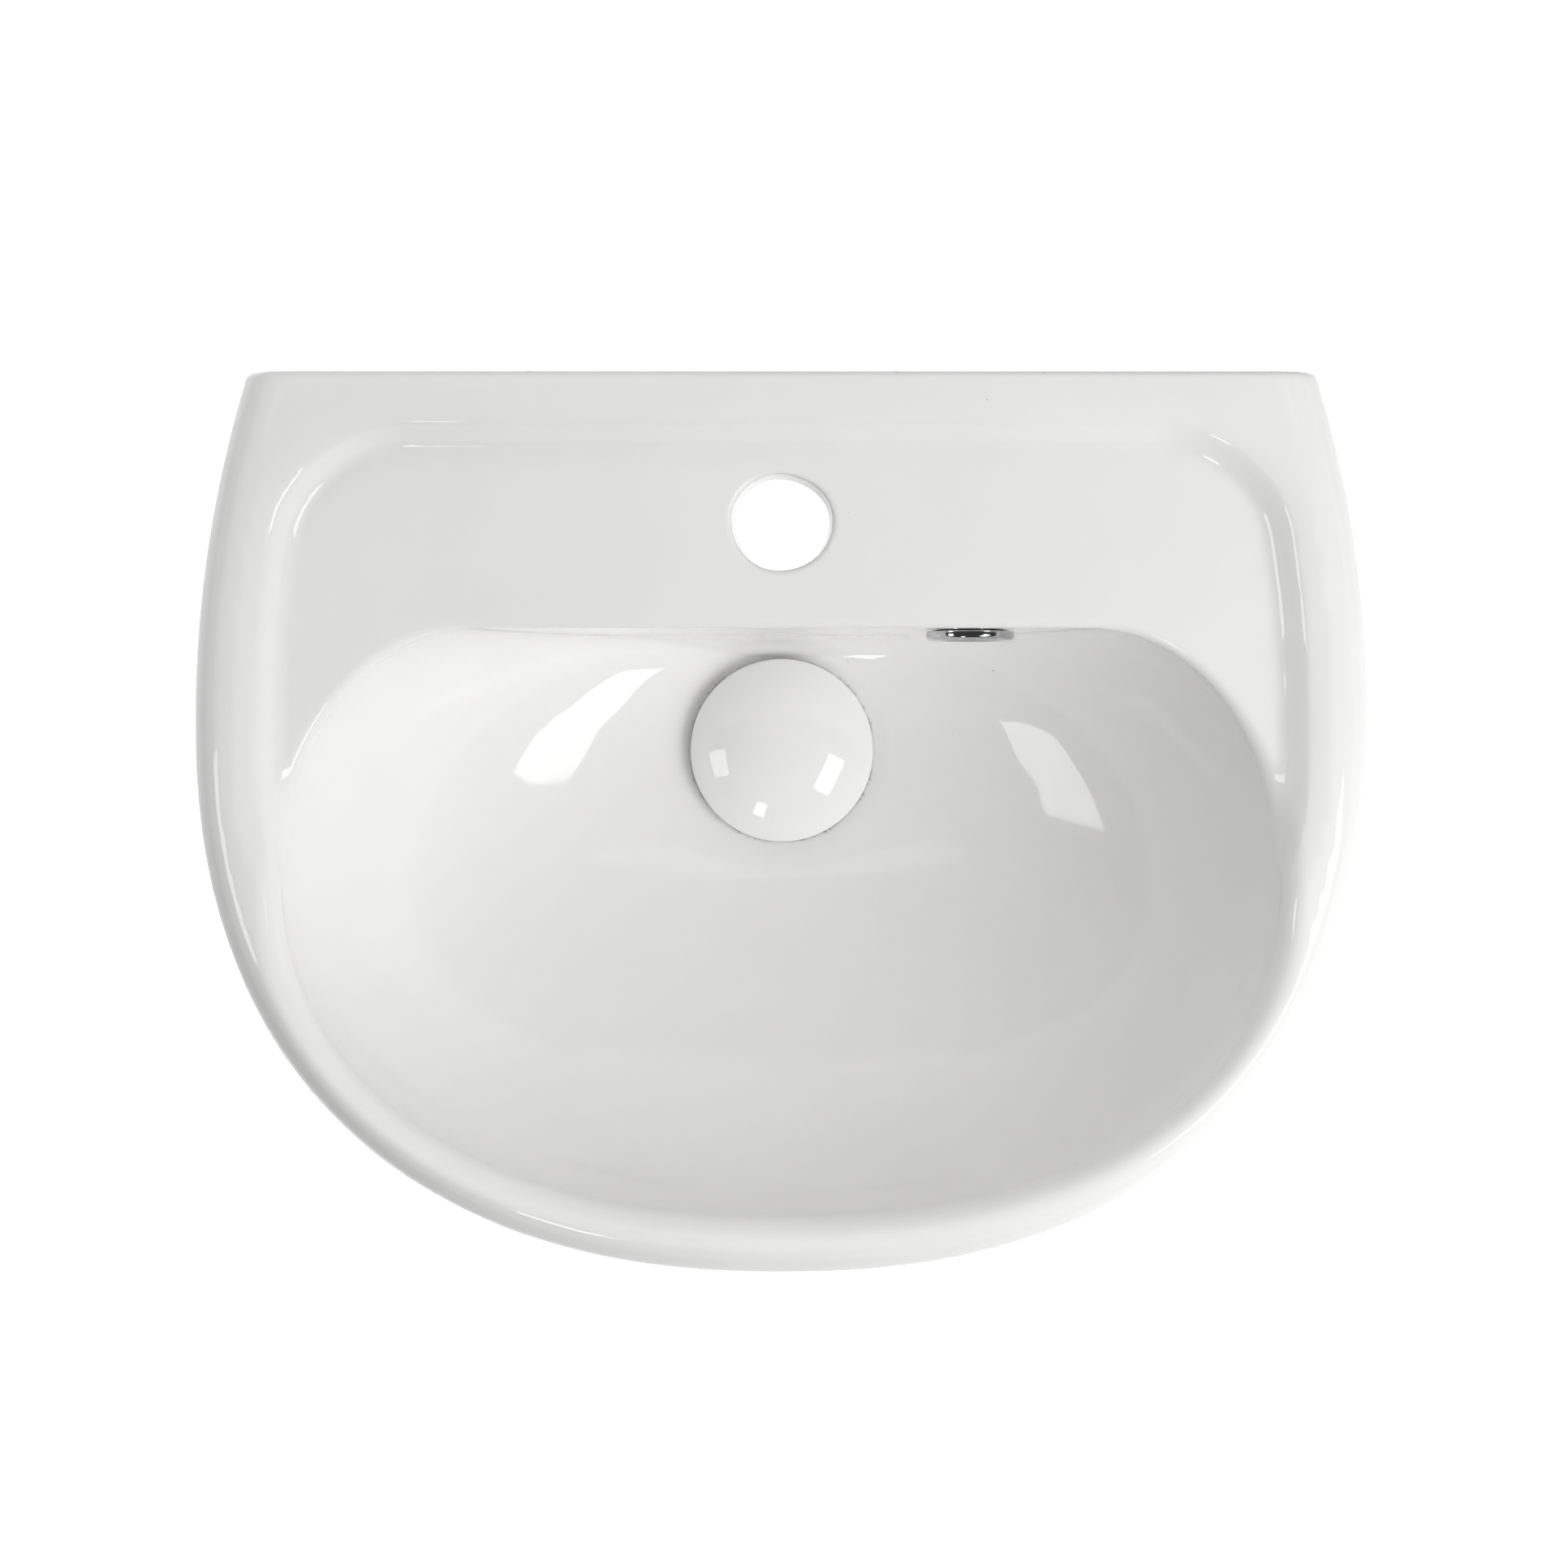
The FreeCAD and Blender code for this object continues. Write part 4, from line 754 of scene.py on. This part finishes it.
def turned_metal(name, bright, dull, roughness, ring_count):
    """Bare metal from the lathe, tarnished in patches."""
    material, tree, shader = new_finish(name, roughness, metallic=1.0)
    marks = group_node(tree, TURNING_MARKS, Ring_Count=ring_count)
    tree.links.new(mixed(tree, marks["Tarnish"], bright, dull), shader.inputs["Base Color"])
    rough = math_node(tree, "MULTIPLY_ADD", marks["Rings"], RING_ROUGHER, roughness - RING_ROUGHER / 2)
    rough = math_node(tree, "MULTIPLY_ADD", marks["Tarnish"], TARNISH_ROUGHER, rough)
    tree.links.new(rough, shader.inputs["Roughness"])
    bumped(tree, shader, marks["Rings"], RINGS_DEEP)
    return material


BRASS_BRIGHT, BRASS_DULL = (0.74, 0.57, 0.28, 1), (0.58, 0.42, 0.20, 1)
BRASS = turned_metal("turned_brass", BRASS_BRIGHT, BRASS_DULL, roughness=0.24, ring_count=3500.0)


def hexagonal(corner_r, beyond_r, top, foot):
    """Reshape that gives six flats to what stands out beyond a radius between two heights."""
    def flatten(radius, height, turn):
        sixth = math.pi / 3
        flat_r = corner_r * math.cos(sixth / 2) / np.cos(turn % sixth - sixth / 2)
        inside = (radius > beyond_r) & (height < top) & (height > foot)
        return np.where(inside, np.minimum(radius, flat_r), radius)
    return flatten


NUT_FLANGE_R, NUT_STEP_Z, NUT_SIDES = 31.5, -97.1, 180
NUT_CORNER_R, NUT_CORE_R, NUT_FACE_R, NUT_CHAMFER_Z, NUT_FOOT_Z = 29.0, 24.0, 26.0, -103.2, -104.6
turned_piece("brass_back_nut", [(SLIP_BORE_R, WASHER_FOOT_Z, 0.4), (NUT_FLANGE_R, WASHER_FOOT_Z, 0.5),
                                (NUT_FLANGE_R, NUT_STEP_Z, 0.5), (NUT_CORNER_R, NUT_STEP_Z, 0.0),
                                (NUT_CORNER_R, NUT_CHAMFER_Z, 0.0), (NUT_FACE_R, NUT_FOOT_Z, 0.0),
                                (SLIP_BORE_R, NUT_FOOT_Z, 0.4)],
             NUT_SIDES, BRASS, "basin", "lock_nut",
             hexagonal(NUT_CORNER_R, NUT_CORE_R, NUT_STEP_Z + 0.05, NUT_FOOT_Z - 0.4), spacing=0.7)


# Click cartridge: a brass barrel screwed down through the hub on a nylon washer, closed by an acetal cap
# with a drain hole. The spring in it pushes the rotor and the plunger up, and a rubber ring wipes the bore.

HEAD_R, HEAD_BORE_R, HEAD_TOP_Z, HEAD_ROOF_Z, HEAD_FOOT_Z = 10.5, 5.3, -72.0, -75.0, -79.0
BARREL_R, BARREL_BORE_R, BARREL_FOOT_Z, SMALL_SIDES = 8.0, 6.3, -116.0, 72
DRAIN_R, STOPPER_R, STOPPER_TOP_Z, END_FOOT_Z = 1.5, 6.25, -112.0, -118.0
FINE_PITCH, FINE_SPACING, BARREL_THREAD_TOP_Z, BARREL_THREAD_DEEP = 1.0, 0.125, -87.0, 0.45
turned_piece("brass_barrel", [(HEAD_BORE_R, HEAD_TOP_Z, 0.3), (HEAD_R, HEAD_TOP_Z, 0.8),
                              (HEAD_R, HEAD_FOOT_Z, 0.3), (BARREL_R, HEAD_FOOT_Z, 0.1),
                              (BARREL_R, BARREL_FOOT_Z, 0.3), (BARREL_BORE_R, BARREL_FOOT_Z, 0.2),
                              (BARREL_BORE_R, HEAD_ROOF_Z, 0.2), (HEAD_BORE_R, HEAD_ROOF_Z, 0.2)],
             LARGE_SIDES, BRASS, "basin", "cartridge_barrel",
             screw_cut(BARREL_R, BARREL_THREAD_TOP_Z, STOPPER_TOP_Z, FINE_PITCH, BARREL_THREAD_DEEP),
             FINE_SPACING)
turned_piece("barrel_packing", [(HUB_BORE_R, HEAD_FOOT_Z, 0.1), (HEAD_R, HEAD_FOOT_Z, 0.2),
                                (HEAD_R, HUB_TOP_Z, 0.2), (HUB_BORE_R, HUB_TOP_Z, 0.1)],
             SMALL_SIDES, NYLON, "basin", "barrel_washer")
ACETAL_WHITE, ACETAL_BLOOM = (0.84, 0.84, 0.82, 1), (0.76, 0.76, 0.73, 1)
ACETAL = moulded("white_acetal", ACETAL_WHITE, ACETAL_BLOOM, roughness=0.28, grain_size=500.0,
                 grain_deep=0.01 * MM)
turned_piece("acetal_end_cap", [(DRAIN_R, STOPPER_TOP_Z, 0.2), (STOPPER_R, STOPPER_TOP_Z, 0.4),
                                (STOPPER_R, BARREL_FOOT_Z, 0.1), (BARREL_R, BARREL_FOOT_Z, 0.1),
                                (BARREL_R, END_FOOT_Z, 0.6), (DRAIN_R, END_FOOT_Z, 0.4)],
             SMALL_SIDES, ACETAL, "basin", "cartridge_end_cap")

# The rotor keeps the mesh of the frame, which has its notches.
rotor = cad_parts["click_rotor"]
rotor.data.materials.clear()
rotor.data.materials.append(ACETAL)

STEEL_BRIGHT, STEEL_DULL = (0.62, 0.61, 0.60, 1), (0.52, 0.51, 0.50, 1)
STEEL = turned_metal("turned_stainless", STEEL_BRIGHT, STEEL_DULL, roughness=0.22, ring_count=5000.0)
SPRING_R, SPRING_WIRE_R, SPRING_FOOT_Z, SPRING_TOP_Z = 4.4, 0.4, -111.55, -100.71
SPRING_TURNS, SPRING_CLOSED_TURNS, SPRING_STEPS, WIRE_SIDES = 6.0, 1.0, 360, 12


def click_spring():
    """Round wire wound with a closed turn at each end."""
    steps = SPRING_STEPS
    turn = np.linspace(0, SPRING_TURNS * 2 * math.pi, steps)
    tall, closed = SPRING_TOP_Z - SPRING_FOOT_Z, 2 * SPRING_WIRE_R * SPRING_CLOSED_TURNS
    bends = [0, SPRING_CLOSED_TURNS, SPRING_TURNS - SPRING_CLOSED_TURNS, SPRING_TURNS]
    rise = np.interp(turn / (2 * math.pi), bends, [0, closed, tall - closed, tall])
    line = np.stack([SPRING_R * np.cos(turn), SPRING_R * np.sin(turn), SPRING_FOOT_Z + rise], axis=1)
    out = np.stack([np.cos(turn), np.sin(turn), np.zeros(steps)], axis=1)
    along = np.gradient(line, axis=0)
    along /= np.linalg.norm(along, axis=1, keepdims=True)
    up = np.cross(along, out)
    points = []
    for i in range(steps):
        for side in range(WIRE_SIDES):
            angle = 2 * math.pi * side / WIRE_SIDES
            points.append(line[i] + SPRING_WIRE_R * (out[i] * math.cos(angle) + up[i] * math.sin(angle)))
    faces = [tuple(range(WIRE_SIDES)), tuple(range((steps - 1) * WIRE_SIDES, steps * WIRE_SIDES))]
    for i in range(steps - 1):
        for side in range(WIRE_SIDES):
            following = (side + 1) % WIRE_SIDES
            faces.append((i * WIRE_SIDES + side, i * WIRE_SIDES + following,
                          (i + 1) * WIRE_SIDES + following, (i + 1) * WIRE_SIDES + side))
    return mesh_piece("wound_click_spring", on_waste(points), faces, sharp_angle=60)


spring = click_spring()
spring.data.materials.append(STEEL)
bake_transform(spring)
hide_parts("click_spring")

STUD_BORE_R, STUD_FOOT_Z, PLUNGER_R, PLUNGER_TOP_Z = 3.05, -63.5, 5.0, -54.5
PISTON_R, PISTON_TOP_Z, PISTON_FOOT_Z = 5.9, -84.5, -92.0
GROOVE_R, GROOVE_TOP_Z, GROOVE_FOOT_Z = 4.5, -86.7, -88.3
WIPER_R, WIPER_BORE_R, WIPER_TOP_Z, WIPER_FOOT_Z, WIPER_ROLL = 6.0, 4.6, -86.8, -88.2, 0.69
turned_piece("brass_plunger", [(STUD_BORE_R, PLUNGER_TOP_Z, 0.2), (PLUNGER_R, PLUNGER_TOP_Z, 0.5),
                               (PLUNGER_R, PISTON_TOP_Z, 0.1), (PISTON_R, PISTON_TOP_Z, 0.3),
                               (PISTON_R, GROOVE_TOP_Z, 0.1), (GROOVE_R, GROOVE_TOP_Z, 0.1),
                               (GROOVE_R, GROOVE_FOOT_Z, 0.1), (PISTON_R, GROOVE_FOOT_Z, 0.1),
                               (PISTON_R, PISTON_FOOT_Z, 0.3), (0.0, PISTON_FOOT_Z, 0.0),
                               (0.0, STUD_FOOT_Z, 0.0), (STUD_BORE_R, STUD_FOOT_Z, 0.1)],
             SMALL_SIDES, BRASS, "plug", "click_plunger")
turned_piece("plunger_wiper", [(WIPER_BORE_R, WIPER_TOP_Z, WIPER_ROLL), (WIPER_R, WIPER_TOP_Z, WIPER_ROLL),
                               (WIPER_R, WIPER_FOOT_Z, WIPER_ROLL),
                               (WIPER_BORE_R, WIPER_FOOT_Z, WIPER_ROLL)],
             SMALL_SIDES, RUBBER, "plug", "plunger_ring")


# Cap: a domed disc of the same white china, cemented on a brass plate. The plate's rubber ring closes on
# the seat of the waste, and a locked stud screws the whole plug into the plunger.

PLATE_R, PLATE_TOP_Z, PLATE_FOOT_Z, PLATE_BOSS_R, PLATE_END_Z = 24.9, -40.5, -44.0, 7.0, -52.0
PLUG_RING_R, PLUG_RING_FOOT_R, PLUG_RING_BORE_R = 22.3, 21.1, 17.8
PLUG_RING_BEVEL_Z, PLUG_RING_FOOT_Z = -45.1, -47.8
STUD_R, STUD_TOP_Z, STUD_END, STUD_THREAD_DEEP, STUD_SIDES = 3.0, -43.0, 0.5, 0.5, 48
LOCKNUT_R, LOCKNUT_FACE_R, LOCKNUT_CORE_R, LOCKNUT_CHAMFER, LOCKNUT_SIDES = 5.8, 5.0, 4.4, 0.4, 60
turned_piece("plug_seal", [(PLUG_RING_BORE_R, PLATE_FOOT_Z, 0.3), (PLUG_RING_R, PLATE_FOOT_Z, 0.3),
                           (PLUG_RING_R, PLUG_RING_BEVEL_Z, 0.4), (PLUG_RING_FOOT_R, PLUG_RING_FOOT_Z, 0.6),
                           (PLUG_RING_BORE_R, PLUG_RING_FOOT_Z, 0.5)],
             LARGE_SIDES, RUBBER, "plug", "cap_seal")
turned_piece("brass_cap_plate", [(0.0, PLATE_TOP_Z, 0.0), (PLATE_R, PLATE_TOP_Z, 0.2),
                                 (PLATE_R, PLATE_FOOT_Z, 0.5), (PLATE_BOSS_R, PLATE_FOOT_Z, 0.5),
                                 (PLATE_BOSS_R, PLATE_END_Z, 0.6), (STUD_BORE_R, PLATE_END_Z, 0.2),
                                 (STUD_BORE_R, STUD_TOP_Z, 0.2), (0.0, STUD_TOP_Z, 0.0)],
             LARGE_SIDES, BRASS, "plug", "cap_plate")
turned_piece("steel_stud", [(0.0, STUD_TOP_Z, 0.0), (STUD_R, STUD_TOP_Z, 0.4), (STUD_R, STUD_FOOT_Z, 0.4),
                            (0.0, STUD_FOOT_Z, 0.0)],
             STUD_SIDES, STEEL, "plug", "cap_stud",
             screw_cut(STUD_R, STUD_TOP_Z - STUD_END, STUD_FOOT_Z + STUD_END, FINE_PITCH, STUD_THREAD_DEEP),
             FINE_SPACING)
turned_piece("steel_locknut", [(STUD_BORE_R, PLATE_END_Z, 0.2), (LOCKNUT_FACE_R, PLATE_END_Z, 0.0),
                               (LOCKNUT_R, PLATE_END_Z - LOCKNUT_CHAMFER, 0.0),
                               (LOCKNUT_R, PLUNGER_TOP_Z + LOCKNUT_CHAMFER, 0.0),
                               (LOCKNUT_FACE_R, PLUNGER_TOP_Z, 0.0), (STUD_BORE_R, PLUNGER_TOP_Z, 0.2)],
             LOCKNUT_SIDES, STEEL, "plug", "cap_locknut",
             hexagonal(LOCKNUT_R, LOCKNUT_CORE_R, PLATE_END_Z + 1, PLUNGER_TOP_Z - 1), spacing=0.2)

CAP_R, CAP_FOOT_Z, CAP_EDGE_Z, CAP_TOP_Z, CAP_EDGE_ROLL = 33.5, -43.5, -41.0, -30.0, 1.6
POCKET_R, DOME_STEPS, ROLL_STEPS, CAP_SPECKS = 25.0, 40, 4, 0.08


def cap_section():
    """Half section of the domed disc: the dome's arc, a rolled edge and the pocket for the plate."""
    rise = CAP_TOP_Z - CAP_EDGE_Z
    dome_r = (CAP_R ** 2 + rise ** 2) / (2 * rise)
    widest = math.asin(CAP_R / dome_r)
    dome = [(dome_r * math.sin(angle), CAP_TOP_Z - dome_r * (1 - math.cos(angle)), 0.0)
            for angle in np.linspace(0, widest, DOME_STEPS)[:-ROLL_STEPS]]
    return dome + [(CAP_R, CAP_EDGE_Z, CAP_EDGE_ROLL), (CAP_R, CAP_FOOT_Z, 1.0), (POCKET_R, CAP_FOOT_Z, 0.5),
                   (POCKET_R, PLATE_TOP_Z, 0.3), (0.0, PLATE_TOP_Z, 0.0)]


turned_piece("china_cap", cap_section(), FLANGE_SIDES, glaze("cap_glaze", CAP_SPECKS, False),
             "plug", "ceramic_cap")


# Studio: a pale floor that turns up into a low wall. Two soft lamps and a dim strip at the back light the
# basin and lie in its glaze, a small strip at the front left only shows in the glaze, and four panels only
# fill in the shade. The camera looks straight down on the basin, square to the wall.

WHITE, PAPER_GREY, COVE_GLOW, WORLD_GLOW = (1, 1, 1, 1), (0.78, 0.78, 0.78, 1), 0.6, 0.06
COVE_R, COVE_FLOOR_Z, COVE_TALL, COVE_SIDES = 5.0, -0.3, 2.2, 48


def stage_cove():
    """Floor with a round wall, pale and bright wherever it is looked at."""
    material = bpy.data.materials.new("pale_cove")
    material.use_nodes = True
    tree = material.node_tree
    tree.nodes.clear()
    path = node(tree, "LightPath").outputs
    seen = math_node(tree, "MAXIMUM", path["Is Camera Ray"], path["Is Glossy Ray"])
    seen = math_node(tree, "MAXIMUM", seen, path["Is Transmission Ray"])
    paper = node(tree, "BsdfDiffuse", {"Color": PAPER_GREY})
    glow = node(tree, "Emission", {"Color": WHITE, "Strength": math_node(tree, "MULTIPLY", seen, COVE_GLOW)})
    both = node(tree, "AddShader", {0: paper.outputs[0], 1: glow.outputs[0]})
    node(tree, "OutputMaterial", {"Surface": both.outputs[0]})
    turns = [2 * math.pi * i / COVE_SIDES for i in range(COVE_SIDES)]
    points = [(COVE_R * math.cos(turn), COVE_R * math.sin(turn), height)
              for height in (COVE_FLOOR_Z, COVE_FLOOR_Z + COVE_TALL) for turn in turns]
    faces = [tuple(range(COVE_SIDES))]
    for i in range(COVE_SIDES):
        after = (i + 1) % COVE_SIDES
        faces.append((i, after, COVE_SIDES + after, COVE_SIDES + i))
    mesh = bpy.data.meshes.new("cove")
    mesh.from_pydata(points, [], faces)
    mesh.materials.append(material)
    cove = bpy.data.objects.new("cove", mesh)
    bpy.context.collection.objects.link(cove)


def studio_world():
    """An even, very dim light from all around."""
    world = bpy.data.worlds.new("studio")
    bpy.context.scene.world = world
    world.use_nodes = True
    world.node_tree.nodes["Background"].inputs["Color"].default_value = WHITE
    world.node_tree.nodes["Background"].inputs["Strength"].default_value = WORLD_GLOW


LAMP_DISTANCE, LAMP_AIM = 1.3, np.array([0.0, -0.14, 0.0])
FILL_WIDE, FILL_TALL = 1.5, 1.0
FILLS = [("right_panel", 0, 18, 3.6), ("rear_left_panel", 135, 18, 6.9), ("rear_panel", 90, 45, 3.4),
         ("front_right_panel", -45, 45, 12.0)]


def softbox(name, azimuth, elevation, width, height, power, mirrored=True, lit=True):
    """Rectangular lamp facing the bowl; a mirrored one shows in the glaze, a lit one lights the china."""
    lamp = bpy.data.lights.new(name, "AREA")
    lamp.shape = "RECTANGLE"
    lamp.size, lamp.size_y = width, height
    lamp.energy = power
    item = bpy.data.objects.new(name, lamp)
    item.visible_glossy = mirrored
    item.visible_diffuse = lit
    bpy.context.collection.objects.link(item)
    around, up = math.radians(azimuth), math.radians(elevation)
    direction = np.array([math.cos(up) * math.cos(around), math.cos(up) * math.sin(around), math.sin(up)])
    across = np.array([-math.sin(around), math.cos(around), 0.0])
    stand = LAMP_AIM + direction * LAMP_DISTANCE
    place = np.eye(4)
    place[:3] = np.stack([across, np.cross(direction, across), direction, stand], axis=1)
    item.matrix_world = Matrix(place)


stage_cove()
studio_world()
softbox("right_softbox", -26, 47.7, 0.67, 0.36, 3.6)
softbox("left_softbox", -169, 38, 0.41, 0.30, 1.6)
softbox("rear_strip", 90, 74, 1.3, 0.12, 0.35)
softbox("front_left_strip", -109, 40, 0.18, 0.24, 0.85, lit=False)
for name, azimuth, elevation, power in FILLS:
    softbox(name, azimuth, elevation, FILL_WIDE, FILL_TALL, power, mirrored=False)

CAMERA_X, CAMERA_Y, CAMERA_HEIGHT, IMAGE_WIDE, SENSOR = 0.0008, -0.1414, 1.4, 0.53617, 36.0
camera = bpy.data.cameras.new("camera")
camera.sensor_fit = "HORIZONTAL"
camera.sensor_width = SENSOR
camera.lens = SENSOR * CAMERA_HEIGHT / IMAGE_WIDE
viewer = bpy.data.objects.new("camera", camera)
bpy.context.collection.objects.link(viewer)
viewer.location = (CAMERA_X, CAMERA_Y, RIM_Z * MM + CAMERA_HEIGHT)
bpy.context.scene.camera = viewer
bpy.context.scene.view_settings.view_transform = "Standard"
